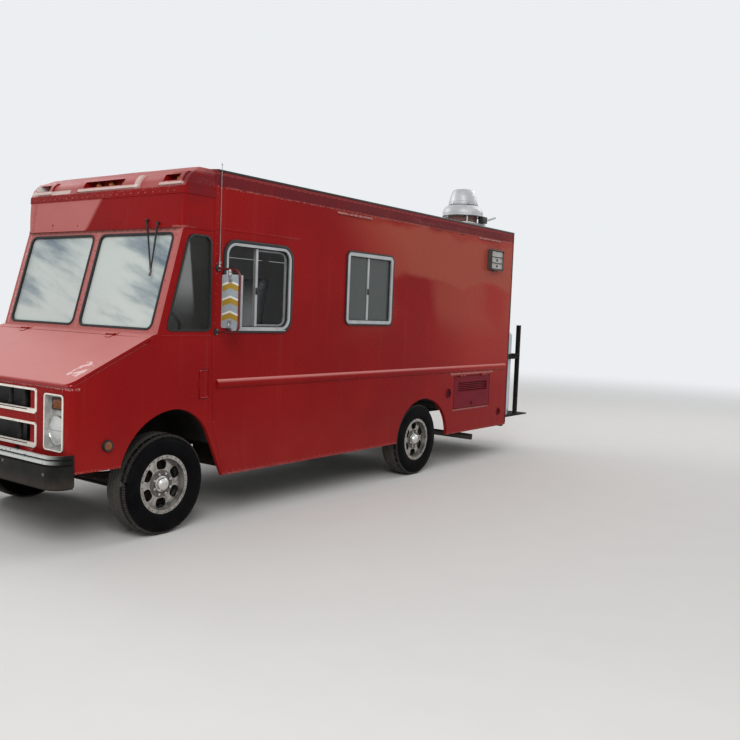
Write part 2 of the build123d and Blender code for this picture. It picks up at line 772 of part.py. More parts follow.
def generator_strips():
    # drip strip over the low door and the strip under it
    y0, y1 = body_rear_y - locker_ahead, body_rear_y - locker_ahead + locker_length
    top = block(half_width, half_width + strip_proud, y0 - 90, y1 + 55, drip_strip_bottom,
                drip_strip_bottom + drip_strip_height)
    sill = block(half_width, half_width + strip_proud - 2, y0 - 5, y1 - 35, locker_bottom - sill_strip_height,
                 locker_bottom)
    return [top, sill]


def generator_hinges():
    y0 = body_rear_y - locker_ahead
    return [hinge((half_width + hinge_barrel, y0 + locker_length * part, locker_top - moving_gap / 2),
                  (0, 0, -1), (1, 0, 0), tab=20) for part in (0.2, 0.8)]


def fuel_door():
    y0 = front_axle_y + fuel_door_back
    gap = moving_gap
    face = rectangle(y0 + gap, y0 + fuel_door_length - gap, fuel_door_bottom + gap, fuel_door_top - gap, 9)
    return along_x(face, half_width - fuel_leaf, half_width)


def fuel_hinge():
    middle = (fuel_door_bottom + fuel_door_top) / 2
    barrel = 4
    place = (half_width + barrel, front_axle_y + fuel_door_back + moving_gap / 2, middle)
    return hinge(place, (0, 1, 0), (1, 0, 0), length=60, barrel=barrel, pin=2, tab=16, plate=2)


# Running gear

def chassis_frame():
    front, rear = nose_y - bumper_reach + bumper_depth, body_rear_y - body_wall
    out, web = frame_width / 2, frame_gauge
    inner = out - frame_flange
    channel = plain([
        (inner, frame_bottom), (out, frame_bottom), (out, frame_top), (inner, frame_top),
        (inner, frame_top - web), (out - web, frame_top - web), (out - web, frame_bottom + web),
        (inner, frame_bottom + web),
    ])
    rail = along_y(channel, front, rear)
    rail -= block(0, half_width, front - 1, nose_y + horn_length, horn_top, frame_top + 1)
    frame = rail + other_side(rail)
    for back in cross_members:
        y = front_axle_y + back
        member = block(-out + web, out - web, y - cross_depth / 2, y + cross_depth / 2,
                       frame_bottom + web, frame_bottom + web + cross_height)
        frame += member
    for side in (-1, 1):
        y = front_axle_y - engine_mount_ahead
        span = sorted((side * 280, side * (out - web)))
        frame += block(*span, y - 45, y + 45, frame_bottom + 30, frame_bottom + 90)
    return frame


def front_axle():
    z = tyre_radius
    low = z - axle_drop
    beam = plain([
        (-kingpin_x, z + 20), (-kingpin_x, z - 28), (-kingpin_x + 50, z - 28), (-kingpin_x + 150, low - 32),
        (kingpin_x - 150, low - 32), (kingpin_x - 50, z - 28), (kingpin_x, z - 28), (kingpin_x, z + 20),
        (kingpin_x - 90, z + 20), (kingpin_x - 190, low + 32), (-kingpin_x + 190, low + 32),
        (-kingpin_x + 90, z + 20),
    ])
    axle = along_y(beam, front_axle_y - 35, front_axle_y + 35)
    web_depth = 22
    for side in (-1, 1):
        hollow = rectangle(-kingpin_x + 240, kingpin_x - 240, low - 20, low + 20)
        edge = front_axle_y + side * 35
        axle -= along_y(hollow, *sorted((edge, edge - side * web_depth)))
        axle += rod_z(boss_radius, side * kingpin_x, front_axle_y, z - boss_height / 2, z + boss_height / 2)
        axle += rod_z(kingpin_radius, side * kingpin_x, front_axle_y,
                      z - boss_height / 2 - lug_height - 6, z + boss_height / 2 + lug_height + 6)
    return axle


def knuckle_left():
    z, y = tyre_radius, front_axle_y
    gap = 1
    piece = None
    for sign in (-1, 1):
        z0, z1 = sorted((z + sign * (boss_height / 2 + gap), z + sign * (boss_height / 2 + gap + lug_height)))
        lug = rod_z(boss_radius, kingpin_x, y, z0, z1)
        lug += block(kingpin_x, kingpin_x + 62, y - 28, y + 28, z0, z1)
        lug -= rod_z(kingpin_radius + running_gap, kingpin_x, y, z0 - 1, z1 + 1)
        piece = lug if piece is None else piece + lug
    half = boss_height / 2 + gap + lug_height
    piece += block(kingpin_x + 40, kingpin_x + 62, y - 28, y + 28, z - half, z + half)
    piece += rod_x(spindle_radius, kingpin_x + 60, track_half + spindle_end, y, z)
    # steering arm behind the kingpin
    piece += block(kingpin_x - 12, kingpin_x + 12, y + 20, y + 150,
                   z - half, z - half + 20) & block(0, body_width, y + boss_radius - 6, y + 150, 0, z)
    return piece


def rear_axle():
    z, y = tyre_radius, rear_axle_y
    reach = track_half + hub_inner - 14
    axle = rod_x(52, -reach, reach, y, z)
    axle += rod_x(spindle_radius, -track_half - spindle_end, track_half + spindle_end, y, z)
    nose = Pos(0, 0, (65 + pinion_reach) / 2) * Cone(120, 55, pinion_reach - 65)
    bulge = Pos(0, y, z) * Rot(90, 0, 0) * (Cylinder(150, 130) + Pos(0, 0, -80) * Cone(100, 140, 30) + nose)
    for side in (-1, 1):
        taper = Pos(side * 210, y, z) * Rot(0, 90 * side, 0) * Cone(95, 52, 200)
        axle += taper
    return axle + bulge


def leaf_spring(axle_y, half_length, seat, eye_height, leaves=4, gauge=12, width=64):
    # arcs about one centre, each leaf shorter than the one above it
    rise = eye_height - seat
    radius = (half_length ** 2 + rise ** 2) / (2 * rise)
    centre = seat + radius
    faces = None
    for number in range(leaves):
        inner = radius + number * gauge
        half_angle = half_length * (1 - 0.21 * number) / radius
        a, b = [], []
        for angle in (-half_angle, 0, half_angle):
            a.append((axle_y + inner * sin(angle), centre - inner * cos(angle)))
            b.append((axle_y + (inner + gauge) * sin(angle), centre - (inner + gauge) * cos(angle)))
        face = make_face([ThreePointArc(*a), Line(a[2], b[2]), ThreePointArc(*b), Line(b[0], a[0])])
        faces = face if faces is None else faces + face
    spring = along_x(faces, frame_x - width / 2, frame_x + width / 2)
    for sign in (-1, 1):
        y = axle_y + sign * half_length
        spring += rod_x(22, frame_x - width / 2, frame_x + width / 2, y, eye_height)
        x0, x1 = frame_x - width / 2 - 8, frame_x + width / 2 + 8
        spring += block(x0, x1, y - 24, y + 24, eye_height, frame_bottom)
    low = seat - leaves * gauge
    return spring, low


def leaf_springs():
    front, front_low = leaf_spring(front_axle_y, 560, front_spring_seat, frame_bottom - 55)
    rear, rear_low = leaf_spring(rear_axle_y, 620, rear_spring_seat, frame_bottom - 48)
    out = frame_x - 36, frame_x + 36
    front += block(*out, front_axle_y - 50, front_axle_y + 50, tyre_radius - axle_drop + 32, front_low + 4)
    rear += block(*out, rear_axle_y - 60, rear_axle_y + 60, tyre_radius + 40, rear_low + 4) - rod_x(
        52, 0, body_width, rear_axle_y, tyre_radius)
    return both_sides(front) + both_sides(rear)


def tyre(x, y):
    half = tyre_width / 2
    bead, lip = half - bead_inset, tyre_bore + rim_lip
    shoulder, tread = tyre_radius - 12, tyre_radius - 2
    section = make_face([
        Line((tyre_bore, -bead), (tyre_bore, bead)), Line((tyre_bore, bead), (lip, bead + 5)),
        ThreePointArc((lip, bead + 5), (tyre_bore + 62, half - 1), (tyre_bore + 108, half - 3)),
        ThreePointArc((tyre_bore + 108, half - 3), (shoulder, half - 13), (tread, half - 34)),
        ThreePointArc((tread, half - 34), (tyre_radius, 0), (tread, -half + 34)),
        ThreePointArc((tread, -half + 34), (shoulder, -half + 13), (tyre_bore + 108, -half + 3)),
        ThreePointArc((tyre_bore + 108, -half + 3), (tyre_bore + 62, -half + 1), (lip, -bead - 5)),
        Line((lip, -bead - 5), (tyre_bore, -bead)),
    ])
    return Pos(x, y, tyre_radius) * Rot(0, 0, -90) * revolve(section, Axis.Y)


def wheel(x, y, side):
    half = tyre_width / 2 - bead_inset
    barrel_in, seat = tyre_bore - rim_gauge, disc_offset + disc_gauge
    barrel = plain([
        (barrel_in, -half - 12), (tyre_bore + rim_lip, -half - 12), (tyre_bore + rim_lip, -half - 5),
        (tyre_bore, -half), (tyre_bore, half), (tyre_bore + rim_lip, half + 5),
        (tyre_bore + rim_lip, half + 12), (barrel_in, half + 12),
    ])
    disc = plain([
        (spindle_radius, disc_offset - 12), (barrel_in - 30, disc_offset - 8),
        (barrel_in + 2, disc_offset - 20), (barrel_in + 2, disc_offset + 4), (barrel_in - 34, seat),
        (spindle_radius, seat),
    ])
    hub = outline([
        (0, hub_inner, 0), (hub_radius, hub_inner, 0), (hub_radius, seat + 4, 2),
        (hub_cap_radius + 4, seat + 8, 2), (hub_cap_radius, hub_outer, 9), (0, hub_outer, 0),
    ])
    rim = revolve(barrel, Axis.Y)
    face = revolve(disc, Axis.Y)
    for number in range(wheel_windows):
        angle = 360 * (number + 0.5) / wheel_windows
        window = outline([
            (window_inner, -window_inner_half, window_inner_corner),
            (window_inner, window_inner_half, window_inner_corner),
            (window_outer, window_outer_half, window_outer_corner),
            (window_outer, -window_outer_half, window_outer_corner),
        ])
        cutter = Rot(90, 0, 0) * extrude(window, amount=through, both=True)
        face -= Rot(0, angle, 0) * cutter
    whole = rim + face + revolve(hub, Axis.Y)
    bore = spindle_end + moving_gap
    whole -= Pos(0, (hub_inner - 1 + bore) / 2, 0) * Rot(90, 0, 0) * Cylinder(
        spindle_radius + running_gap, bore - hub_inner + 1)
    return Pos(x, y, tyre_radius) * Rot(0, 0, -90 * side) * whole


def engine_block():
    y = front_axle_y
    motor = block(-280, 280, y - 560, y + 280, frame_bottom - 100, 1030)
    return motor + along_y(rectangle(-150, 150, frame_bottom - 60, frame_bottom + 170, 30), y + 280, y + 700)


def radiator():
    y = front_axle_y + cross_members[0]
    return block(-310, 310, y - 30, y + 30, frame_bottom + frame_gauge + cross_height, 1070)


def drive_shaft():
    front, rear = front_axle_y + 700, rear_axle_y - pinion_reach
    start, end = Vector(0, front - 50, frame_bottom - 40), Vector(0, rear + 50, tyre_radius)
    shaft = sweep(Plane(origin=start, z_dir=end - start) * Circle(38), path=Line(start, end))
    return shaft & block(-half_width, half_width, front, rear, 0, frame_top)


def exhaust():
    y = front_axle_y
    line = [
        (250, y + 2300, 440), (250, y + 2850, 505), (250, y + 3900, 505), (430, y + 4260, 340),
        (880, y + 4700, 264),
    ]
    tail = pipe(line, 120, 35)
    muffler = rod_y(82, 250, y + 1620, y + 2330, 440)
    front = rod_y(28, 250, y + 600, y + 1640, 440)
    top = frame_bottom + frame_gauge
    hangers = block(230, 270, y + 2380, y + 2420, 440, top)
    hangers += block(230, 270, y + 1600, y + 1640, 440, top)
    riser = block(225, 275, y + 560, y + 620, 415, 500)
    return tail + muffler + front + hangers + riser


def fuel_tank():
    y = front_axle_y
    tank = along_y(rectangle(frame_width / 2 + 38, half_width - 68, 395, 665, 40), y + 700, y + 1650)
    for back in (900, 1450):
        tank += block(frame_width / 2, frame_width / 2 + 58, y + back - 25, y + back + 25, 600, 650)
    return tank


# Front trim

def bumper_plan(inset):
    front, rear = nose_y - bumper_reach + inset, nose_y + bumper_wrap
    side, radius = bumper_half_width - inset, bumper_corner - inset
    return outline([(-side, rear, 0), (-side, front, radius), (side, front, radius), (side, rear, 0)])


def front_bumper():
    hollow = along_z(bumper_plan(bumper_depth), 0, side_height)
    bar = None
    for bottom, top, setback in bumper_bands:
        band = along_z(bumper_plan(setback), bottom, top) - hollow
        bar = band if bar is None else bar + band
    nose_room = offset(plan_view(nose_y), moving_gap, kind=Kind.INTERSECTION)
    bar -= along_z(nose_room, 0, side_height)
    for side in (-1, 1):
        x = side * plate_hole_spacing / 2
        bar -= rod_y(plate_hole_radius, x, nose_y - through, nose_y, plate_hole_height)
    return bar


def grille():
    frames = []
    for bottom, top in grille_rows:
        outer = rectangle(-grille_half_width, grille_half_width, bottom, top, 24)
        inner = rectangle(-grille_half_width + grille_frame, grille_half_width - grille_frame,
                          bottom + 2 * grille_frame, top - grille_frame, 12)
        ring = along_y(outer - inner, nose_y - grille_proud, nose_y + grille_recess)
        open_half = grille_half_width - grille_end
        slot = rectangle(-open_half, open_half, bottom + grille_frame + 3, bottom + 2 * grille_frame - 4)
        ring -= along_y(slot, nose_y - 2 * grille_proud, nose_y + grille_recess - 6)
        frames.append(ring)
    return frames


def headlamp_bezel():
    body = along_y(rectangle(bezel_inner, bezel_outer, bezel_bottom, bezel_top, 26), nose_y - bezel_proud,
                   nose_y + bezel_depth)
    dish = rectangle(bezel_inner + bezel_rim, bezel_outer - bezel_rim, bezel_bottom + bezel_rim,
                     bezel_top - bezel_rim, 16)
    body -= along_y(dish, nose_y - through, nose_y + bezel_depth - 10)
    body -= rod_y(lamp_radius + 1, lamp_x, nose_y, nose_y + through, lamp_height)
    turn = rectangle(turn_inner, turn_outer, turn_bottom, turn_top, 8)
    return body - along_y(turn, nose_y, nose_y + through)


def headlamp_set():
    seat = nose_y + bezel_depth
    bowl = rod_y(lamp_radius + 1, lamp_x, seat - 22, seat + 40, lamp_height)
    lens = Pos(lamp_x, seat - 22 + 160, lamp_height) * Sphere(187) & rod_y(
        lamp_radius + 1, lamp_x, seat - 60, seat, lamp_height)
    turn = along_y(rectangle(turn_inner, turn_outer, turn_bottom, turn_top, 8), seat - 22, seat + 6)
    return [bowl + lens, turn]


def marker_lamps():
    lamps = []
    for x, half, lenses in cap_lamps:
        for number in range(lenses):
            place = x + (number - (lenses - 1) / 2) * cap_lens_pitch
            back = front_axle_y + cap_pocket_back
            lamps.append(rod_y(cap_lens_radius, place, back - cap_lens_radius, back,
                               (cap_pocket_bottom + cap_pocket_top) / 2))
    side = rod_x(marker_radius, half_width, half_width + 16, front_axle_y + marker_back, marker_height)
    return lamps + both_sides(side)


def window_glass():
    panes = []
    for face in screen_openings(0):
        panes.append(extrude(screen_frame.offset(-12) * face, amount=-glass_thickness))
    pane = along_x(quarter_face(0), half_width - 18, half_width - 18 + glass_thickness)
    panes += both_sides(pane)
    for name, behind, length, sill, head, radius in side_windows:
        face = opening_yz(behind, length, sill, head, radius - window_frame, window_frame)
        panes.append(along_x(face, half_width - 20, half_width - 20 + glass_thickness))
    return panes


def window_frames():
    frames = []
    for name, behind, length, sill, head, radius in side_windows:
        outer = opening_yz(behind, length, sill, head, radius)
        inner = opening_yz(behind, length, sill, head, radius - window_frame, window_frame)
        frame = along_x(outer - inner, half_width - body_wall, half_width + 4)
        lip = opening_yz(behind, length, sill, head, radius + 10, -10)
        frame += along_x(lip - inner, half_width, half_width + window_proud)
        y = seam_y + behind + length * 0.47
        frame += block(half_width - 34, half_width - 6, y - 12, y + 12, sill + window_frame,
                       head - window_frame)
        frame -= along_x(inner, half_width - 20, half_width - 20 + glass_thickness)
        frames.append(frame)
    return frames


def rub_rails():
    start, end = seam_y + rub_start_behind_seam, body_rear_y - rub_end_ahead_of_rear
    top = rail_bottom + rail_depth
    middle = (half_width + rub_proud, (rail_bottom + top) / 2)
    section = make_face([
        ThreePointArc((half_width, rail_bottom), middle, (half_width, top)),
        Line((half_width, top), (half_width, rail_bottom)),
    ])
    left = along_y(section, start, end)
    right_start = seam_y + entry_behind_seam + entry_width + 60
    right = other_side(along_y(section, right_start, end))
    return [left, right]


# Cab interior

def dashboard():
    y0 = front_axle_y - 100
    top = cowl_height + 4
    face = outline([
        (y0, 1150, 0), (y0, top - 20, 0), (y0 + 90, top, 10), (y0 + 225, top - 40, 20), (y0 + 190, 1170, 20),
    ])
    board = along_x(face, -half_width + cab_wall + 5, half_width - cab_wall - 5)
    return board - steer_plane() * Cylinder(30 + running_gap, 2000)


def engine_cover():
    shelf = shelf_height
    y0, y1 = front_axle_y - 100, front_axle_y + 640
    profile = outline([
        (y0, shelf, 0), (y0, 1150, 0), (y1 - 90, 1150, 60), (y1, shelf - 10, 20), (y1, floor_height, 0),
        (y1 - 70, floor_height, 0), (y1 - 70, shelf, 0),
    ])
    outer = along_x(profile, -340, 340)
    return outer - block(-318, 318, y0 - 1, front_axle_y + 460, shelf - 1, 1110)


def driver_seat():
    x, y = steer_hub[0], front_axle_y + 900
    cushion = block(x - 235, x + 235, y - 220, y + 260, 1150, 1270)
    back = Rot(-10, 0, 0) * Pos(0, 0, 370) * Box(460, 110, 760)
    cushion = fillet(cushion.edges(), 35)
    back = Pos(x, y + 250, 1250) * fillet(back.edges(), 42)
    stand = block(x - 160, x + 160, y - 120, y + 160, floor_height, 1160)
    return cushion + back + stand


def steer_plane(shift=0):
    axis = Vector(0, sin(radians(steer_tilt)), cos(radians(steer_tilt)))
    return Plane(origin=Vector(*steer_hub) + axis * shift, x_dir=(1, 0, 0), z_dir=axis)


def steering_column():
    foot = shelf_height
    length = (steer_hub[2] - foot) / cos(radians(steer_tilt))
    tube = steer_plane(-50) * Pos(0, 0, -(length - 50) / 2) * Cylinder(30, length - 50)
    shaft = steer_plane(-50) * Pos(0, 0, 25) * Cylinder(9, 60)
    keep = block(0, body_width, front_axle_y - 90, front_axle_y + 600, foot, 2 * foot)
    return (tube + shaft) & keep


def steering_wheel():
    rim = Pos(0, 0, 30) * Torus(215, 13)
    hub = Cylinder(45, 50) - Cylinder(9 + running_gap, 60)
    whole = rim + Pos(0, 0, 5) * hub + Pos(0, 0, 32) * Cylinder(40, 12)
    for angle in (90, 210, 330):
        whole += Rot(0, 0, angle) * Pos(125, 0, 20) * Rot(0, -6, 0) * Box(180, 26, 9)
    whole -= Pos(0, 0, -10) * Cylinder(9 + running_gap, 62)
    return steer_plane() * whole


# Outside fittings

def mirror_set(convex):
    out = half_width + mirror_reach
    corners = [
        (half_width, mirror_y, mirror_top), (out, mirror_y, mirror_top - 20), (out, mirror_y, mirror_bottom),
        (half_width, mirror_y, mirror_bottom),
    ]
    loop = pipe(corners, mirror_bend, mirror_tube)
    for z in (mirror_top, mirror_bottom):
        loop += rod_x(24, half_width, half_width + 8, mirror_y, z)
    x0 = half_width + mirror_head_gap
    x1 = x0 + mirror_head_width
    middle = (x0 + x1) / 2
    face = rectangle(x0, x1, mirror_head_bottom, mirror_head_top, 18)
    head = along_y(face, mirror_y + mirror_tube - 1, mirror_y + mirror_tube - 1 + mirror_head_depth)
    for z in (mirror_top - 14, mirror_bottom):
        head += rod_z(8, middle, mirror_y + mirror_tube + 4, z, (mirror_head_bottom + mirror_head_top) / 2)
    if convex:
        head += rod_y(convex_radius, middle, mirror_y - 10, mirror_y + 14, convex_height)
        head += rod_z(7, middle, mirror_y + 4, mirror_top - 20, convex_height)
    room = block(half_width, 2 * half_width, mirror_y - through, mirror_y + through, 0, side_height)
    return (loop + head) & room


def antenna():
    x, y = half_width + 12, mirror_y + 8
    base = rod_x(12, half_width, x + 6, y, mirror_top + 40)
    return base + rod_z(2.5, x, y, mirror_top + 40, mirror_top + 780)


def wiper_arm(outers):
    # two bars from their pivots in the header to one blade clip ahead of the glass
    pivots = [(612, 2320), (744, 2296)]
    clip = (794, 1929)
    lean = 41               # bars ahead of the frame's plane
    piece = None
    for x, z in pivots:
        run = hypot(clip[0] - x, clip[1] - z)
        angle = degrees(atan2(clip[0] - x, z - clip[1]))
        y = (screen_plane_y(z) + screen_plane_y(clip[1])) / 2 - lean
        foot = Vector((x + clip[0]) / 2, y, (z + clip[1]) / 2)
        rake = degrees(atan2(screen_rake, 1))
        bar = Pos(foot) * Rot(-rake, 0, 0) * Rot(0, -angle, 0) * Box(11, 7, run)
        pivot = rod_y(11, x, screen_plane_y(z) - lean - 10, screen_plane_y(z) + 30, z)
        piece = bar + pivot if piece is None else piece + bar + pivot
    for outer in outers:
        piece -= outer
    return piece


def flood_light():
    y0, y1 = body_rear_y - flood_front, body_rear_y - flood_rear
    face = rectangle(y0, y1, flood_bottom, flood_top)
    dish = offset(face, -flood_rim, kind=Kind.INTERSECTION)
    front = half_width + flood_depth
    return along_x(face, half_width, front) - along_x(dish, front - 12, front + 1)


def roof_fan():
    x, y = fan_x, body_rear_y - fan_ahead
    curb_top = roof_top + fan_curb
    half = fan_curb_half
    curb = block(x - half, x + half, y - half, y + half, side_height, curb_top)
    curb -= along_y(front_view(0), y - 2 * half, y + 2 * half)
    lip, eave = (skirt_radius, skirt_rim + 16), (skirt_radius - 58, skirt_top)
    skirt = make_face([
        Line((0, skirt_rim), (skirt_radius, skirt_rim)), Line((skirt_radius, skirt_rim), lip),
        ThreePointArc(lip, (skirt_radius - 16, skirt_top - 36), eave),
        Line(eave, (0, skirt_top)), Line((0, skirt_top), (0, skirt_rim)),
    ])
    dome = outline([
        (0, skirt_top - 1, 0), (dome_radius - 9, skirt_top - 1, 0), (dome_radius - 9, skirt_top + 8, 0),
        (dome_radius, skirt_top + 8, 0), (dome_radius, skirt_top + 22, 0),
        (dome_radius - 18, dome_top - 84, 0), (dome_radius - 46, dome_top, 52), (0, dome_top, 0),
    ])
    throat = rectangle(0, throat_radius, curb_top - 1, skirt_rim + 1)
    fan = revolve(Plane.XZ * skirt, Axis.Z) + revolve(Plane.XZ * dome, Axis.Z)
    fan += revolve(Plane.XZ * throat, Axis.Z)
    for turn in range(4):
        fan += Rot(0, 0, 45 + 90 * turn) * rod_z(9, skirt_radius - 26, 0, curb_top - 1, skirt_rim + 1)
    return curb + Pos(x, y, 0) * fan


def rear_deck():
    y0, y1 = body_rear_y, body_rear_y + deck_length
    plate = block(-960, 960, y0, y1, deck_top - deck_gauge, deck_top)
    for side in (-1, 1):
        x = side * frame_x
        plate += block(x - 30, x + 30, y0 - 260, y1 - 40, deck_top - deck_gauge - 50, deck_top - deck_gauge)
        plate += block(x - 30, x + 30, y0 - 260, y0 - 160, deck_top - deck_gauge - 50, frame_bottom)
        x = side * 900
        plate += block(x - 30, x + 30, y0, y0 + 60, deck_top - deck_gauge - 110, deck_top - 8)
    out, y2 = 952, y0 + post_ahead
    post = block(out - post_size, out, y2, y2 + post_size, deck_top, post_top)
    bar = block(out - post_size, out, y0, y2 + 1, post_brace, post_brace + 32)
    return plate + post + bar


def gas_cylinder():
    neck_radius = 40
    profile = outline([
        (0, deck_top, 0), (gas_foot_radius, deck_top, 0), (gas_foot_radius, deck_top + 40, 0),
        (gas_radius, deck_top + 70, 20), (gas_radius, gas_shoulder, 90), (neck_radius, gas_neck - 20, 0),
        (neck_radius, gas_neck, 0), (0, gas_neck, 0),
    ])
    body = revolve(Plane.XZ * profile, Axis.Z)
    hollow = Cylinder(collar_radius - collar_wall, 2 * collar_height + 10)
    collar = Pos(0, 0, gas_neck) * (Cylinder(collar_radius, 2 * collar_height) - hollow)
    valve = Pos(0, 0, gas_neck + 20) * Cylinder(18, 70)
    return Pos(gas_x, body_rear_y + gas_back, 0) * (body + collar + valve)


def tail_lamps():
    lamp = rod_y(tail_lamp_radius, half_width - tail_lamp_inset, body_rear_y, body_rear_y + tail_lamp_depth,
                 tail_lamp_height)
    return both_sides(lamp)


# Every node and what is in it

def build():
    low_outer, low_inner = lower_shell()
    top_outer, top_inner = upper_shell()
    hood_pairs = hood_hinges()
    rear_pairs = rear_door_hinges()
    hatch_pairs = hatch_hinges()
    shelf_pairs = shelf_hinges()
    locker_pairs = generator_hinges()
    fuel_pair = fuel_hinge()

    def with_halves(shape, pairs, which):
        for pair in pairs:
            shape = shape + pair[which]
        return shape

    nose = with_halves(nose_shell(low_outer, low_inner), hood_pairs + [fuel_pair], 0)
    right_panel = with_halves(right_side_panel(), hatch_pairs + shelf_pairs, 0)
    nodes = {
        "nose_shell": nose,
        "cab_front": cab_front(low_outer, low_inner),
        "header_panel": header_panel(top_outer, top_inner),
        "roof_cap": roof_cap(top_outer, top_inner),
        "cab_floor": cab_floor(),
        "left_side_panel": with_halves(left_side_panel(), locker_pairs, 0) + generator_strips(),
        "right_side_panel": [right_panel - entry_bay(), right_panel & entry_bay()],
        "rear_wall": with_halves(rear_wall(), rear_pairs, 0),
        "roof_panel": roof_panel(),
        "floor": floor(),
        "entry_step": entry_step(),
        "side_locker": side_locker(),
        "hood": with_halves(hood(low_outer), hood_pairs, 1),
        "sliding_door": sliding_door(),
        "sliding_door_glass": sliding_door_glass(),
        "rear_door": with_halves(rear_door(), rear_pairs, 1),
        "serving_hatch": with_halves(serving_hatch(), hatch_pairs, 1),
        "serving_shelf": with_halves(serving_shelf(), shelf_pairs, 1),
        "generator_door": with_halves(generator_door(), locker_pairs, 1),
        "fuel_door": fuel_door() + fuel_pair[1],
        "chassis_frame": chassis_frame(),
        "front_axle": front_axle(),
        "rear_axle": rear_axle(),
        "leaf_springs": leaf_springs(),
        "knuckle_left": knuckle_left(),
        "knuckle_right": other_side(knuckle_left()),
        "engine_block": engine_block(),
        "radiator": radiator(),
        "drive_shaft": drive_shaft(),
        "exhaust": exhaust(),
        "fuel_tank": fuel_tank(),
        "front_bumper": front_bumper(),
        "grille": grille(),
        "headlamp_bezels": both_sides(headlamp_bezel()),
        "headlamps": [half for piece in headlamp_set() for half in both_sides(piece)],
        "marker_lamps": marker_lamps(),
        "tail_lamps": tail_lamps(),
        "window_glass": window_glass(),
        "window_frames": window_frames(),
        "rub_rails": rub_rails(),
        "dashboard": dashboard(),
        "engine_cover": engine_cover(),
        "driver_seat": driver_seat(),
        "steering_column": steering_column(),
        "steering_wheel": steering_wheel(),
        "mirrors": [mirror_set(False), other_side(mirror_set(True))],
        "antenna": antenna(),
        "wiper_arm": wiper_arm([low_outer, top_outer]),
        "flood_light": flood_light(),
        "roof_fan": roof_fan(),
        "rear_deck": rear_deck(),
        "gas_cylinder": gas_cylinder(),
    }
    for axle, y in (("front", front_axle_y), ("rear", rear_axle_y)):
        for name, side in (("left", 1), ("right", -1)):
            nodes[f"tyre_{axle}_{name}"] = tyre(side * track_half, y)
            nodes[f"wheel_{axle}_{name}"] = wheel(side * track_half, y, side)
    return nodes


os.makedirs("parts", exist_ok=True)
for node, shape in build().items():
    solids = []
    for piece in shape if isinstance(shape, list) else [shape]:
        solids += piece.solids()
    export_step(Compound(solids) if len(solids) > 1 else solids[0], f"parts/{node}.step")
    print(node, len(solids))
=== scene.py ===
import bpy
import bmesh
from math import atan2, cos, exp, pi, radians, sin
from mathutils import Matrix, Vector


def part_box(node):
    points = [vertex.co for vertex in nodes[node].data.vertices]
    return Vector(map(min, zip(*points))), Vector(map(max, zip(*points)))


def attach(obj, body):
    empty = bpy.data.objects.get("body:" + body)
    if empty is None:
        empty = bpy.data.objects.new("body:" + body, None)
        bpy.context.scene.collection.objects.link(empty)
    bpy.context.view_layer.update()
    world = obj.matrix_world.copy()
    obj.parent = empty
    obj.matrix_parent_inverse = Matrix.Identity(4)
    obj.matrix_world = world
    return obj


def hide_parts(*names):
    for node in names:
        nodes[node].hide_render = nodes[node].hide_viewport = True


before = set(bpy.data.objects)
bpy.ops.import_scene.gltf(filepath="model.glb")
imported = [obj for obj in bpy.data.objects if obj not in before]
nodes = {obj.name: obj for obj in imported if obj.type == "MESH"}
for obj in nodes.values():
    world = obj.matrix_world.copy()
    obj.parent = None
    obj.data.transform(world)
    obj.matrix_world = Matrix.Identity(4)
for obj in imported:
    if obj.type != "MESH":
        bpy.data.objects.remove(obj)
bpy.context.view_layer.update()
print("frame loaded:", len(nodes), "nodes")

# Shader values: one socket, and what it is plugged into


def plug(tree, value, target):
    if isinstance(value, Socket):
        tree.links.new(value.link, target)
    elif isinstance(value, (tuple, list)) and target.type == "RGBA" and len(value) == 3:
        target.default_value = (*value, 1)
    else:
        target.default_value = value


class Socket:
    def __init__(self, tree, link):
        self.tree, self.link = tree, link

    def maths(self, operation, first, second, clamp=False):
        made = self.tree.nodes.new("ShaderNodeMath")
        made.operation = operation
        made.use_clamp = clamp
        plug(self.tree, first, made.inputs[0])
        plug(self.tree, second, made.inputs[1])
        return Socket(self.tree, made.outputs[0])

    def __abs__(self):
        return self.maths("ABSOLUTE", self, 0)

    def sine(self):
        return self.maths("SINE", self, 0)

    def over(self, other):
        return self.maths("MAXIMUM", self, other)

    def held(self):
        return self.maths("ADD", self, 0, clamp=True)    # kept between 0 and 1


operators = {
    "add": "ADD", "sub": "SUBTRACT", "mul": "MULTIPLY", "truediv": "DIVIDE", "pow": "POWER",
    "mod": "FLOORED_MODULO", "gt": "GREATER_THAN", "lt": "LESS_THAN",
}
for name, operation in operators.items():
    setattr(Socket, f"__{name}__", lambda self, other, kind=operation: self.maths(kind, self, other))
    if name in ("add", "sub", "mul"):    # with a number on the left
        setattr(Socket, f"__r{name}__", lambda self, other, kind=operation: self.maths(kind, other, self))


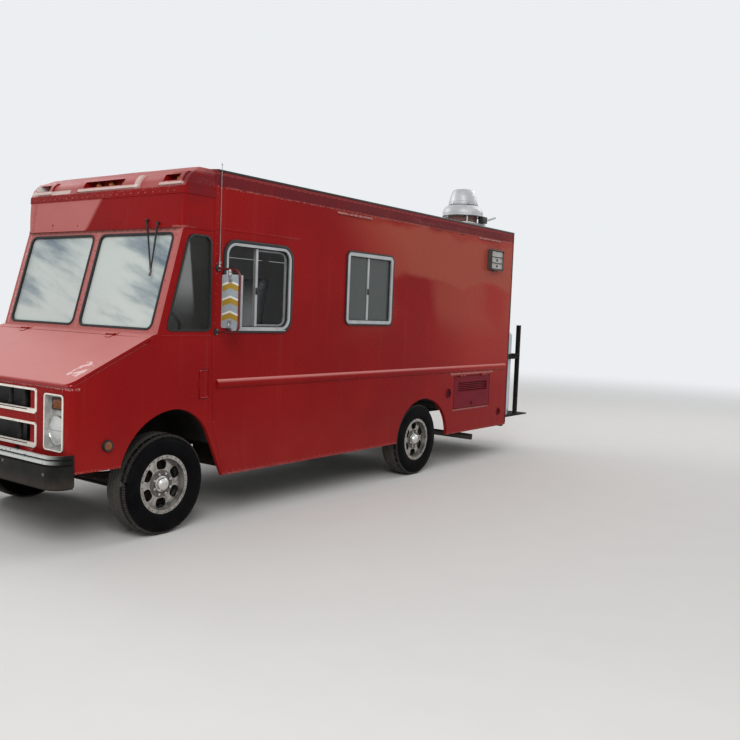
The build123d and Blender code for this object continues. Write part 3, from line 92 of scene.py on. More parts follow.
class Finish:
    def __init__(self, name):
        self.material = bpy.data.materials.new(name)
        self.material.use_nodes = True
        self.tree = self.material.node_tree
        self.shader = self.tree.nodes["Principled BSDF"]
        self.place = self.node("TexCoord", out="Object")
        self.facing = self.node("TexCoord", out="Normal")

    def node(self, kind, out=0, sockets=None, **settings):
        made = self.tree.nodes.new("ShaderNode" + kind)
        for name, value in settings.items():
            setattr(made, name, value)
        for name, value in (sockets or {}).items():
            plug(self.tree, value, made.inputs[name])
        return Socket(self.tree, made.outputs[out])

    def split(self, vector):
        made = self.node("SeparateXYZ", sockets={0: vector})
        outputs = made.link.node.outputs
        return [Socket(self.tree, outputs[i]) for i in range(3)]

    def noise(self, scale, detail=3, stretch=None, rough=0.55, turn=None):
        place = self.place
        if turn:    # turned first, then drawn out
            place = self.node("Mapping", vector_type="TEXTURE", sockets={
                "Vector": place, "Rotation": turn, "Scale": stretch})
        elif stretch:
            place = self.node("Mapping", sockets={"Vector": place, "Scale": stretch})
        return self.node("TexNoise", out="Fac", sockets={
            "Vector": place, "Scale": scale, "Detail": detail, "Roughness": rough})

    def ramp(self, value, low, high):
        return self.node("MapRange", interpolation_type="SMOOTHSTEP", sockets={
            "Value": value, "From Min": low, "From Max": high})

    def around(self, u, v, middle):
        return ((u - middle[0]) ** 2 + (v - middle[1]) ** 2) ** 0.5    # distance from an axis

    def within(self, low, high, soft, ragged):
        # 1 inside a block of space, fading outward over the soft edge, made ragged by noise
        away = None
        for at, a, b in zip(self.split(self.place), low, high):
            side = abs(at - (a + b) / 2) - (b - a) / 2
            away = side if away is None else away.over(side)
        return self.ramp(away + (self.noise(40, 4) - 0.5) * ragged, soft, 0)

    def mix(self, first, second, mask):
        return self.node("Mix", out=2, data_type="RGBA", sockets={0: mask, 6: first, 7: second})

    def bump(self, height, strength, distance=0.001):
        return self.node("Bump", sockets={"Height": height, "Strength": strength, "Distance": distance})

    def set(self, values):
        for name, value in values.items():
            plug(self.tree, value, self.shader.inputs[name])
        return self.material


# Camera, floor and light

camera = {
    "place": (5.7773, -6.5952, 1.7013), "yaw": 0.6323, "pitch": -0.0688, "roll": 0.039,
    "focal": 844, "imageWidth": 740, "sensor": 36,
}


def makeCamera(c):
    lens = bpy.data.cameras.new("camera")
    lens.sensor_width = c["sensor"]
    lens.lens = c["focal"] / c["imageWidth"] * c["sensor"]
    ahead = Vector((-sin(c["yaw"]) * cos(c["pitch"]), cos(c["yaw"]) * cos(c["pitch"]), sin(c["pitch"])))
    across = ahead.cross(Vector((0, 0, 1))).normalized()
    above = across.cross(ahead)
    right = across * cos(c["roll"]) + above * sin(c["roll"])
    top = above * cos(c["roll"]) - across * sin(c["roll"])
    holder = bpy.data.objects.new("camera", lens)
    holder.matrix_world = Matrix.Translation(c["place"]) @ Matrix((right, top, -ahead)).transposed().to_4x4()
    bpy.context.collection.objects.link(holder)
    bpy.context.scene.camera = holder


studio = {
    "floorSize": 60, "floorColour": (0.7, 0.685, 0.66), "backdrop": (0.84, 0.86, 0.88),
    "fadeFrom": 8.0, "fadeTo": 20.0,    # where the floor runs into the backdrop
    "fill": 0.62,
    "lamps": [   # place, aimed at, size, power
        ((7.5, -9.0, 7.5), (0, -0.5, 1.2), 6.0, 640),
        ((-10.0, -1.0, 7.0), (0, -0.5, 1.3), 6.0, 360),
        ((3.0, 9.5, 8.0), (0, 1.0, 1.5), 6.0, 300),
    ],
}


def rayLevel(tree, fill):
    # full strength where the camera, gloss or glass looks at it, less as light on the object
    path = tree.nodes.new("ShaderNodeLightPath")
    seen = Socket(tree, path.outputs["Is Camera Ray"]) + Socket(tree, path.outputs["Is Glossy Ray"])
    seen = (seen + Socket(tree, path.outputs["Is Transmission Ray"])).held()
    return seen * (1 - fill) + fill


def makeStudio(s):
    mesh = bpy.data.meshes.new("floor")
    shape = bmesh.new()
    bmesh.ops.create_grid(shape, x_segments=1, y_segments=1, size=s["floorSize"])
    shape.to_mesh(mesh)
    floor = bpy.data.objects.new("floor", mesh)
    bpy.context.collection.objects.link(floor)
    ground = Finish("floorFinish")
    grain = ground.noise(3.0, 4)
    pale = tuple(v * 1.05 for v in s["floorColour"])
    mesh.materials.append(ground.set({
        "Base Color": ground.mix(s["floorColour"], pale, grain), "Roughness": 0.9,
        "Specular IOR Level": 0.1}))
    x, y = ground.split(ground.place)[:2]
    glow = ground.node("Emission", sockets={
        "Color": (*s["backdrop"], 1), "Strength": rayLevel(ground.tree, s["fill"])})
    far = ground.ramp(ground.around(x, y, (0, 0)), s["fadeFrom"], s["fadeTo"])
    matt = Socket(ground.tree, ground.shader.outputs[0])
    blended = ground.node("MixShader", sockets={0: far, 1: matt, 2: glow})
    plug(ground.tree, blended, ground.tree.nodes["Material Output"].inputs["Surface"])
    world = bpy.data.worlds.new("studio")
    bpy.context.scene.world = world
    world.use_nodes = True
    tree = world.node_tree
    background = tree.nodes["Background"]
    background.inputs["Color"].default_value = (*s["backdrop"], 1)
    plug(tree, rayLevel(tree, s["fill"]), background.inputs["Strength"])
    for number, (place, aim, size, power) in enumerate(s["lamps"]):
        lamp = bpy.data.lights.new(f"lamp{number}", "AREA")
        lamp.shape = "DISK"
        lamp.size, lamp.energy = size, power
        holder = bpy.data.objects.new(f"lamp{number}", lamp)
        away = Vector(place) - Vector(aim)
        holder.matrix_world = Matrix.Translation(place) @ away.to_track_quat("Z", "Y").to_matrix().to_4x4()
        bpy.context.collection.objects.link(holder)
    bpy.context.scene.view_settings.view_transform = "Standard"


makeCamera(camera)
makeStudio(studio)
print("camera, floor and light set")

# Finishes

red = {
    "deep": (0.232, 0.0055, 0.0068), "bright": (0.275, 0.0075, 0.0075), "reflectedOrange": (0.36, 0.075, 0.045),
    "pink": (0.58, 0.205, 0.19), "dust": (0.26, 0.19, 0.15), "primer": (0.78, 0.68, 0.63),
    "plum": (0.12, 0.022, 0.024), "vivid": (0.38, 0.028, 0.018), "lining": (0.78, 0.77, 0.74),
    "under": (0.01, 0.009, 0.008),
}
wheelCentre = {"middleY": -0.8275, "halfBase": 1.689, "height": 0.375}


# body paint: faded where it looks up and lit there by a painted sky reflection, with painted reflections on
# the header and sides, worn and painted highlights in blocks, soiled low down and pale inside


def redPaint(name, upFadeAndSkySheen=0.9, fadeFrom=0.2, fadeTo=0.75, wearAndHighlights=(), skyReflectionPatch=None, sideReflection=0.0, low=0.2, lined=0.76):
    f = Finish(name)
    x, y, z = f.split(f.place)
    across, ahead, up = f.split(f.facing)
    colour = f.mix(red["deep"], red["bright"], f.ramp(f.noise(1.1, 3), 0.35, 0.7))
    if sideReflection:    # broad orange clouds on the sides, a painted reflection, and clearer red near the back
        colour = f.mix(colour, red["vivid"], f.ramp(y, 0.9, 2.1) * f.ramp(z, 0.7, 1.3) * 0.8)
        wavy = z + (f.noise(1.6, 2) - 0.5) * 0.35
        high = f.ramp(wavy, 2.0, 2.09) * f.ramp(wavy, 2.6, 2.5) * f.ramp(y + wavy, 1.6, 3.0)
        faint = f.ramp(f.noise(0.75, 2), 0.42, 0.6) * f.ramp(z, 1.3, 1.8) * f.ramp(y, -0.9, 0.2) * 0.6
        colour = f.mix(colour, red["reflectedOrange"], high.over(faint) * sideReflection * (0.3 + 0.7 * f.ramp(x, 0.2, 0.98)))
    streaks = f.ramp(f.noise(1.0, 4, stretch=(16, 16, 0.6)), 0.56, 0.8)
    colour = f.mix(colour, red["dust"], streaks * 0.06)
    # painted highlight: faces that look up are paler, partly real fading and partly a painted reflection of
    # the sky
    fadeAndSkySheen = f.ramp(up, fadeFrom, fadeTo) * upFadeAndSkySheen
    # painted reflection of the sky on the header's front, paler on one side of a leaning edge
    if skyReflectionPatch:
        edge = skyReflectionPatch["edge"] + (z - skyReflectionPatch["height"]) * skyReflectionPatch["lean"]
        reflectedSky = f.ramp(x - edge, skyReflectionPatch["soft"], -skyReflectionPatch["soft"]) * f.ramp(ahead, -0.3, -0.7)
        fadeAndSkySheen = (fadeAndSkySheen + reflectedSky * skyReflectionPatch["amount"]).held()
    fadeAndSkySheen = (fadeAndSkySheen * (0.8 + 0.4 * f.noise(2.6, 5))).held()
    colour = f.mix(colour, red["pink"], fadeAndSkySheen)
    bare = None
    for start, end, amount, shown, ragged, paint, grain, soft in wearAndHighlights:
        mask = f.within(start, end, soft, ragged) * f.ramp(f.noise(grain, 4), *shown)
        colour = f.mix(colour, paint, mask * amount)
        bare = mask if bare is None else bare.over(mask)
    chips = f.ramp(f.noise(55, 3, rough=0.75), 0.735, 0.76)
    colour = f.mix(colour, red["plum"], chips * 0.7)
    soiled = (f.ramp(z, 1.0, 0.4) * (0.2 + 0.55 * f.noise(7, 5))).held()
    colour = f.mix(colour, red["dust"], soiled * low * 0.4)
    inside = (x * across < -0.3) * (abs(x) < 0.968) * (abs(x) > 0.85)    # inner faces of the walls
    colour = f.mix(colour, f.mix(red["under"], red["lining"], z > lined), inside)
    rough = 0.24 + 0.3 * fadeAndSkySheen + 0.25 * soiled + 0.06 * f.noise(60, 2)
    if bare:
        rough = rough + 0.25 * bare
    wave = f.noise(2.0, 2) + 0.012 * f.noise(150, 2)
    return f.set({
        "Base Color": colour, "Roughness": rough.held(), "Specular IOR Level": 0.06,
        "Normal": f.bump(wave, 0.3, 0.012)})


# plain finishes: two colours mixed by noise, with chips, grime and a rim where they are asked for


def mixedFinish(name, first, second, rough, scale=12.0, metal=0.0, spec=0.4, bump=0.15, grime=0.0, coat=0.0,
                chips=None, rim=None, under=None):
    f = Finish(name)
    colour = f.mix(first, second, f.ramp(f.noise(scale, 5), 0.3, 0.7))
    roughness = rough + 0.2 * (f.noise(scale * 2.3, 4) - 0.5)
    if under:    # dark below this height, and wherever it looks down
        below = (f.split(f.place)[2] < under) + (f.split(f.facing)[2] < -0.3)
        colour = f.mix(colour, (0.008, 0.007, 0.0065), below.held())
    if rim:    # another colour on the edges that look sideways
        colour = f.mix(rim, colour, f.ramp(abs(f.split(f.facing)[2]), 0.25, 0.45))
    if chips:    # colour under the paint, and how much of it shows
        bare = f.ramp(f.noise(scale * 3.1, 5, rough=0.7), 0.7 - chips[1], 0.73 - chips[1])
        colour = f.mix(colour, chips[0], bare)
        roughness = roughness + 0.2 * bare
    if grime:
        dirt = (f.ramp(f.split(f.place)[2], 1.0, 0.2) * grime * f.noise(scale * 1.7, 6) * 1.5).held()
        colour = f.mix(colour, red["dust"], dirt)
        roughness = roughness + 0.25 * dirt
    return f.set({
        "Base Color": colour, "Roughness": roughness.held(), "Metallic": metal, "Specular IOR Level": spec,
        "Coat Weight": coat, "Normal": f.bump(f.noise(scale * 6, 3), bump)})


def wearAndHighlight(low, high, amount, shown=(0.2, 0.36), ragged=0.02, colour=red["primer"], grain=90, soft=0.006):
    # a patch of other colour, for wear and painted highlights: its block of space, how strong it is, and the
    # noise levels between which it appears
    return low, high, amount, shown, ragged, colour, grain, soft


# pink lines along edges, lips and ledges: painted highlights where they catch the light, with worn dots
pinkWearAndHighlight = {"colour": (0.5, 0.23, 0.21), "ragged": 0.03, "grain": 60}
capWearAndHighlights = [
    # pale marks under the roof lamps: painted highlights on the lower edges of their bases, with chipped
    # paint
    wearAndHighlight((-0.96, -2.46, 2.58), (-0.44, -2.37, 2.606), 0.7, ragged=0.012),
    wearAndHighlight((-0.31, -2.46, 2.58), (0.44, -2.37, 2.602), 0.7, ragged=0.01),
    wearAndHighlight((0.4, -2.46, 2.58), (0.452, -2.3, 2.68), 0.6, ragged=0.012),
    wearAndHighlight((0.7, -2.46, 2.58), (0.95, -2.32, 2.6), 0.6, ragged=0.014),
    wearAndHighlight((-0.98, -2.48, 2.575), (-0.9, -2.25, 2.7), 0.9, (0.4, 0.6), ragged=0.03),
    wearAndHighlight((-0.99, -2.46, 2.522), (0.15, -2.38, 2.57), 0.14, (0.42, 0.6), **pinkWearAndHighlight),
    wearAndHighlight((0.2, -2.46, 2.56), (0.9, -2.38, 2.572), 0.35, (0.5, 0.6), **pinkWearAndHighlight),
    wearAndHighlight((0.98, -2.3, 2.6), (0.995, -2.12, 2.64), 0.15, (0.4, 0.6), **pinkWearAndHighlight),
    # broad darker patches round the corner where the cap turns to the side
    wearAndHighlight((0.955, -2.38, 2.52), (1.0, -2.05, 2.72), 0.6, (0.2, 0.6), ragged=0.05,
         colour=(0.105, 0.014, 0.018), grain=4, soft=0.04),
    wearAndHighlight((0.8, -2.4, 2.6), (1.0, -2.1, 2.69), 0.35, (0.2, 0.7), ragged=0.05, colour=(0.15, 0.02, 0.024),
         grain=8),
]
headerWearAndHighlights = [
    wearAndHighlight((-0.915, -2.46, 2.28), (-0.88, -2.41, 2.5), 0.5, (0.45, 0.6), colour=(0.16, 0.02, 0.02)),
    wearAndHighlight((0.9, -2.47, 2.264), (0.99, -2.3, 2.275), 0.3, **pinkWearAndHighlight),
    # a broad darker patch round the header's corner
    wearAndHighlight((0.965, -2.4, 2.3), (1.0, -2.05, 2.6), 0.4, (0.3, 0.7), ragged=0.06, colour=(0.105, 0.014, 0.018),
         grain=4, soft=0.05),
]
frontWearAndHighlights = [
    wearAndHighlight((0.938, -2.66, 1.5), (0.956, -2.36, 2.255), 0.5, (0.46, 0.6), **pinkWearAndHighlight),
    wearAndHighlight((-0.956, -2.66, 1.5), (-0.938, -2.36, 2.255), 0.5, (0.42, 0.58)),
    wearAndHighlight((-0.95, -2.46, 2.232), (0.95, -2.4, 2.263), 0.55, (0.3, 0.45), **pinkWearAndHighlight),
    wearAndHighlight((-0.018, -2.66, 1.5), (0.018, -2.4, 2.26), 0.55, (0.35, 0.5), **pinkWearAndHighlight),
    wearAndHighlight((-0.95, -2.7, 1.484), (0.95, -2.62, 1.505), 0.4, (0.4, 0.5), **pinkWearAndHighlight),
]
hoodWear = [
    wearAndHighlight((0.8, -3.25, 1.15), (0.93, -3.08, 1.3), 0.85, (0.53, 0.57), ragged=0.05, colour=(0.85, 0.62, 0.6),
         grain=16),
    wearAndHighlight((-0.99, -3.37, 1.12), (0.99, -3.345, 1.15), 0.6, (0.0, 0.1), ragged=0.004,
         colour=(0.36, 0.07, 0.07)),
]
sideWearAndHighlights = [
    wearAndHighlight((0.98, -2.1, 2.6), (1.0, 0.9, 2.612), 0.35, (0.42, 0.55), **pinkWearAndHighlight),
    wearAndHighlight((0.98, 0.6, 2.625), (1.0, 2.3, 2.655), 0.5, (0.45, 0.6), **pinkWearAndHighlight),
    # a darker band along the top of the side, under the roof's edge
    wearAndHighlight((0.98, -2.2, 2.61), (1.0, 2.82, 2.74), 0.85, (0.0, 0.6), ragged=0.02,
         colour=(0.105, 0.014, 0.018), grain=2.5),
    wearAndHighlight((0.98, -1.98, 0.372), (1.0, 2.82, 0.39), 0.15, (0.5, 0.6), ragged=0.02),
    wearAndHighlight((0.9885, 1.44, 1.036), (1.0, 2.43, 1.055), 0.8, (0.3, 0.5), **pinkWearAndHighlight),
    wearAndHighlight((0.9885, 1.53, 0.631), (1.0, 2.34, 0.647), 0.65, (0.35, 0.55), **pinkWearAndHighlight),
]
noseWearAndHighlights = [
    wearAndHighlight((-0.99, -3.37, 0.553), (1.0, -2.93, 0.566), 0.12, (0.5, 0.6), ragged=0.02),
    wearAndHighlight((0.6, -3.362, 1.118), (0.975, -3.33, 1.125), 0.4, (0.48, 0.6), ragged=0.006),
    wearAndHighlight((0.95, -3.36, 1.114), (0.995, -3.27, 1.122), 0.35, (0.45, 0.55), ragged=0.012),
    wearAndHighlight((-0.975, -3.362, 1.114), (0.6, -3.33, 1.124), 0.4, (0.45, 0.6), **pinkWearAndHighlight),
    wearAndHighlight((-0.98, -3.362, 0.7), (0.98, -3.34, 1.1), 0.25, (0.35, 0.75), ragged=0.05,
         colour=(0.3, 0.035, 0.03), grain=3),
]
redPaints = [    # name, what differs from redPaint's defaults, nodes
    ("bodyRed", {"wearAndHighlights": sideWearAndHighlights, "sideReflection": 0.85},
     ["left_side_panel", "right_side_panel", "rear_wall", "sliding_door", "rear_door", "serving_hatch",
      "fuel_door", "rub_rails"]),
    ("hoodRed", {"wearAndHighlights": hoodWear, "upFadeAndSkySheen": 1.0, "fadeTo": 0.6}, ["hood"]),
    ("headerRed", {"wearAndHighlights": headerWearAndHighlights,
                   "skyReflectionPatch": {"edge": -0.006, "height": 2.493, "lean": 0.65, "soft": 0.03, "amount": 0.74}},
     ["header_panel"]),
    ("capRed", {"wearAndHighlights": capWearAndHighlights, "upFadeAndSkySheen": 0.6, "fadeTo": 0.6}, ["roof_cap"]),
    ("frontRed", {"wearAndHighlights": frontWearAndHighlights, "upFadeAndSkySheen": 0.62, "fadeFrom": 0.1, "fadeTo": 0.26}, ["cab_front"]),
    ("noseRed", {"wearAndHighlights": noseWearAndHighlights, "lined": 1.12}, ["nose_shell"]),
]
rust = (0.16, 0.07, 0.035)
mixedPaints = [    # name, its two colours, roughness, what differs from mixedFinish's defaults, nodes
    ("maroonPaint", (0.19, 0.007, 0.017), (0.145, 0.006, 0.014), 0.35, {"spec": 0.06, "grime": 0.04},
     ["generator_door"]),
    ("chassisBlack", (0.006, 0.0055, 0.005), (0.014, 0.0125, 0.011), 0.75,
     {"grime": 0.07, "scale": 6.0, "spec": 0.08}, ["chassis_frame", "fuel_tank", "cab_floor", "rear_deck"]),
    ("castSteel", (0.014, 0.0125, 0.011), (0.04, 0.03, 0.023), 0.7,
     {"grime": 0.08, "spec": 0.12, "chips": (rust, 0.05)},
     ["front_axle", "rear_axle", "leaf_springs", "knuckle_left", "knuckle_right", "engine_block",
      "drive_shaft"]),
    ("pipeSteel", (0.014, 0.013, 0.013), (0.04, 0.032, 0.028), 0.6,
     {"scale": 9.0, "chips": (rust, 0.05)}, ["exhaust"]),
    ("creamPaint", (0.92, 0.86, 0.78), (0.84, 0.74, 0.66), 0.42,
     {"scale": 22, "chips": ((0.42, 0.3, 0.24), 0.0)}, ["grille"]),
    ("argentPaint", (0.52, 0.515, 0.49), (0.34, 0.335, 0.32), 0.45, {"metal": 0.15, "scale": 18},
     ["headlamp_bezels"]),
    ("whiteFrame", (0.47, 0.48, 0.49), (0.36, 0.37, 0.38), 0.4, {"scale": 5, "metal": 0.35},
     ["window_frames"]),
    ("whitePaint", (0.58, 0.64, 0.7), (0.5, 0.55, 0.6), 0.4, {"scale": 7}, ["gas_cylinder"]),
    ("roofCoat", (0.74, 0.74, 0.72), (0.6, 0.58, 0.54), 0.7,
     {"scale": 4, "bump": 0.5, "rim": (0.2, 0.012, 0.014)}, ["roof_panel"]),
    ("fanMetal", (0.62, 0.63, 0.64), (0.46, 0.465, 0.47), 0.42, {"metal": 0.25, "scale": 5}, ["roof_fan"]),
    ("lampHousing", (0.085, 0.072, 0.068), (0.05, 0.045, 0.043), 0.55, {"metal": 0.2, "scale": 20},
     ["flood_light"]),
    ("antennaSteel", (0.32, 0.3, 0.29), (0.2, 0.19, 0.18), 0.35, {"metal": 0.8}, ["antenna"]),
    ("greyZinc", (0.2, 0.18, 0.165), (0.13, 0.12, 0.11), 0.55, {"metal": 0.5}, ["side_locker"]),
    ("blackPlastic", (0.012, 0.012, 0.013), (0.025, 0.025, 0.026), 0.5, {"scale": 60},
     ["dashboard", "engine_cover", "steering_column", "steering_wheel", "radiator"]),
    ("blackSteel", (0.01, 0.01, 0.01), (0.02, 0.019, 0.018), 0.42, {"scale": 30}, ["wiper_arm"]),
    ("seatVinyl", (0.01, 0.01, 0.012), (0.02, 0.02, 0.022), 0.38, {"scale": 80}, ["driver_seat"]),
    ("floorSheet", (0.4, 0.4, 0.4), (0.3, 0.3, 0.3), 0.5, {"metal": 0.6, "under": 0.72},
     ["floor", "entry_step"]),
    ("shelfSteel", (0.46, 0.46, 0.46), (0.38, 0.38, 0.38), 0.4, {"metal": 0.7, "scale": 8},
     ["serving_shelf"]),
    ("roofAmber", (0.62, 0.23, 0.03), (0.46, 0.15, 0.02), 0.25, {"coat": 0.3, "scale": 40}, []),
    ("fanThroat", (0.22, 0.105, 0.085), (0.12, 0.06, 0.05), 0.7, {"scale": 30}, []),
    ("redLens", (0.36, 0.008, 0.008), (0.26, 0.005, 0.005), 0.2, {"coat": 0.4}, ["tail_lamps"]),
    ("amberLens", (0.27, 0.075, 0.008), (0.15, 0.04, 0.006), 0.25, {"coat": 0.2, "scale": 40},
     ["marker_lamps"]),
    ("rubber", (0.008, 0.008, 0.0085), (0.016, 0.0155, 0.015), 0.55, {"scale": 40}, []),
    ("chrome", (0.78, 0.77, 0.75), (0.6, 0.59, 0.57), 0.14, {"metal": 1.0, "scale": 30, "bump": 0.05}, []),
    ("dullBolt", (0.1, 0.09, 0.085), (0.2, 0.17, 0.15), 0.5, {"metal": 0.7, "scale": 90}, []),
    ("mirrorGlass", (0.72, 0.74, 0.75), (0.68, 0.7, 0.71), 0.05, {"metal": 1.0, "bump": 0.0}, []),
    ("darkInside", (0.006, 0.006, 0.006), (0.012, 0.011, 0.01), 0.8, {}, []),
    ("drumIron", (0.005, 0.0045, 0.004), (0.012, 0.009, 0.007), 0.8, {"scale": 25, "spec": 0.1}, []),
    ("paleCell", (0.4, 0.39, 0.36), (0.3, 0.29, 0.27), 0.25, {"scale": 60, "coat": 0.5}, []),
    ("pinkPaint", (0.46, 0.15, 0.14), (0.26, 0.025, 0.025), 0.5, {"scale": 55, "spec": 0.1}, []),
    ("dullPink", (0.44, 0.22, 0.2), (0.26, 0.04, 0.038), 0.5, {"scale": 30, "spec": 0.1}, []),
    ("caulk", (0.66, 0.65, 0.62), (0.52, 0.5, 0.46), 0.8, {"scale": 30, "bump": 0.4}, []),
    ("paleSteel", (0.44, 0.45, 0.46), (0.34, 0.35, 0.36), 0.38, {"metal": 0.7, "scale": 15}, []),
    ("brass", (0.42, 0.29, 0.12), (0.3, 0.2, 0.09), 0.35, {"metal": 0.9, "scale": 60}, []),
]

bumper = {"black": (0.007, 0.0068, 0.0062), "dull": (0.016, 0.0145, 0.0125), "bright": (0.66, 0.68, 0.66),
          "ridges": [(0.631, 0.656), (0.666, 0.69)], "brightTo": 0.95}


def bumperPaint(b):
    f = Finish("bumperPaint")
    x, _, z = f.split(f.place)
    colour = f.mix(b["black"], b["dull"], f.ramp(f.noise(9, 5), 0.35, 0.7))
    ridge = None
    for low, high in b["ridges"]:
        band = f.ramp(z, low - 0.002, low + 0.001) * f.ramp(z, high + 0.001, high - 0.002)
        ridge = band if ridge is None else ridge + band
    ahead, up = f.split(f.facing)[1:]
    # painted highlight: the ridges are pale only on faces that look forward or up, partly bare metal worn
    # through the black and partly a painted highlight
    highlightFacing = f.ramp(ahead, 0.1, -0.5).over(f.ramp(up, 0.3, 0.7))
    bright = (ridge * highlightFacing * f.ramp(abs(x), b["brightTo"] + 0.05, b["brightTo"] - 0.08)
              * f.ramp(f.noise(40, 4), 0.25, 0.42)).held()
    colour = f.mix(colour, b["bright"], bright)
    dirt = (f.ramp(z, 0.56, 0.46) * f.noise(14, 6)).held()
    colour = f.mix(colour, red["dust"], dirt * 0.25)
    return f.set({
        "Base Color": colour, "Roughness": (0.46 - 0.15 * bright + 0.3 * dirt).held(),
        "Metallic": bright * 0.4, "Specular IOR Level": 0.12, "Normal": f.bump(f.noise(70, 3), 0.15)})


wheelMetal = {"bright": (0.46, 0.445, 0.42), "dull": (0.2, 0.187, 0.168), "grime": (0.02, 0.017, 0.014)}


def wheelRadius(f):
    y, z = f.split(f.place)[1:]
    along = abs(y - wheelCentre["middleY"]) - wheelCentre["halfBase"]
    return f.around(along, z, (0, wheelCentre["height"]))


def wheelFinish(w):
    f = Finish("wheelMetal")
    radius = wheelRadius(f)
    colour = f.mix(w["bright"], w["dull"], f.ramp(f.noise(22, 5), 0.4, 0.75))
    # darker, rougher and less metallic in the recess round the hub and along a ring at the rim's step:
    # painted shade in these recesses, with grime
    dirt = f.ramp(radius, 0.106, 0.096) * f.ramp(radius, 0.05, 0.054)
    dirt = (dirt + f.ramp(abs(radius - 0.189), 0.005, 0.001) * 0.7).held()
    dirt = (dirt * f.ramp(f.noise(60, 4), 0.2, 0.45)).held()
    colour = f.mix(colour, w["grime"], dirt * 0.9)
    turned = (radius * 2600).sine()
    return f.set({
        "Base Color": colour, "Roughness": (0.2 + 0.3 * f.noise(30, 4) + 0.35 * dirt - 0.05).held(),
        "Metallic": (1 - dirt * 0.8).held(), "Normal": f.bump(turned + 2 * f.noise(90, 3), 0.08, 0.0006)})


tyreRubber = {"side": (0.0022, 0.0023, 0.003), "grey": (0.006, 0.006, 0.0065), "dust": (0.115, 0.107, 0.096)}


def tyreFinish(t):
    f = Finish("tyreRubber")
    radius = wheelRadius(f)
    colour = f.mix(t["side"], t["grey"], f.ramp(f.noise(5, 5), 0.35, 0.75))
    tread = f.ramp(radius, 0.348, 0.366)
    dusty = (tread * (0.35 + 0.6 * f.noise(30, 5)) + f.ramp(f.noise(9, 4), 0.62, 0.85) * 0.05).held()
    colour = f.mix(colour, t["dust"], dusty)
    return f.set({
        "Base Color": colour, "Roughness": (0.56 + 0.35 * dusty).held(), "Specular IOR Level": 0.035,
        "Normal": f.bump(f.noise(220, 3), 0.25)})


lamps = {"clear": (0.7, 0.7, 0.68), "shade": (0.4, 0.41, 0.39), "amber": (0.26, 0.085, 0.018),
         "amberDeep": (0.1, 0.035, 0.015), "amberAbove": 0.96, "seam": 0.838}


def lampFinish(p):
    f = Finish("lampLens")
    x, _, z = f.split(f.place)
    flutes = (x * 820).sine()
    bars = (z * 700).sine()
    clear = f.mix(p["clear"], p["shade"], f.ramp(flutes * 0.5 + 0.6 * f.noise(30, 2), 0.1, 0.9))
    clear = f.mix(clear, (0.25, 0.25, 0.24), f.ramp(abs(z - p["seam"]), 0.0035, 0.0015))
    amber = f.mix(p["amber"], p["amberDeep"], f.ramp(abs(abs(x) - 0.835), 0.0, 0.06))
    colour = f.mix(clear, amber, z > p["amberAbove"])
    return f.set({
        "Base Color": colour, "Roughness": (0.16 + 0.1 * f.noise(60, 2)).held(), "Coat Weight": 0.4,
        "Normal": f.bump(flutes + bars, 0.35, 0.0015)})


mirrors = {
    "silver": (0.4, 0.44, 0.46), "blue": (0.33, 0.39, 0.42), "gold": (0.42, 0.27, 0.035),
    "white": (0.8, 0.8, 0.75), "tube": (0.12, 0.012, 0.014), "middle": 1.129, "halfWidth": 0.093,
    "slope": 0.3, "peak": 1.896, "pitch": 0.113, "whiteTo": 0.016, "goldTo": 0.058,
    "headBottom": 1.54, "headTop": 1.936,
}


def mirrorFinish(m, name, plate=False):
    f = Finish(name)
    x, y, z = f.split(f.place)
    off = abs(abs(x) - m["middle"])
    down = m["peak"] - (z + off * m["slope"])    # distance under the first point, along the pattern
    step = down % m["pitch"]
    inner, outer = m["middle"] - m["halfWidth"] + 0.006, m["middle"] + m["halfWidth"] - 0.004
    onBack = (f.ramp(f.split(f.facing)[1], -0.7, -0.9) * (abs(x) > inner)
              * (abs(x) < outer) * (z < m["headTop"] - 0.01) * (z > m["headBottom"]))
    if not plate:    # only the head itself, not the tubes ahead of it
        onBack = onBack * (y > -2.0725)
    banded = (down > 0) * (down < 3 * m["pitch"] - 0.04) * onBack
    white = (step < m["whiteTo"]) * banded
    gold = (step < m["goldTo"]) * banded
    head = (y > (-2.1 if plate else -2.067)) * (z < m["headTop"] + 0.006) * (z > m["headBottom"] - 0.006)
    colour = f.mix(m["tube"], m["silver"], head.held())
    colour = f.mix(colour, m["blue"], onBack * f.ramp(f.noise(12, 3), 0.3, 0.6))
    colour = f.mix(f.mix(colour, m["gold"], gold), m["white"], white)
    colour = f.mix(colour, red["dust"], f.ramp(f.noise(40, 5), 0.6, 0.8) * 0.25)
    return f.set({
        "Base Color": colour, "Roughness": (0.32 + 0.2 * f.noise(50, 3)).held(), "Specular IOR Level": 0.35,
        "Normal": f.bump(f.noise(120, 3), 0.1)})


glass = {
    "screen": (0.17, 0.23, 0.28), "screenPale": (0.62, 0.68, 0.64), "side": (0.03, 0.034, 0.034),
    "sidePale": (0.3, 0.31, 0.31), "kitchen": (0.085, 0.1, 0.095),
}


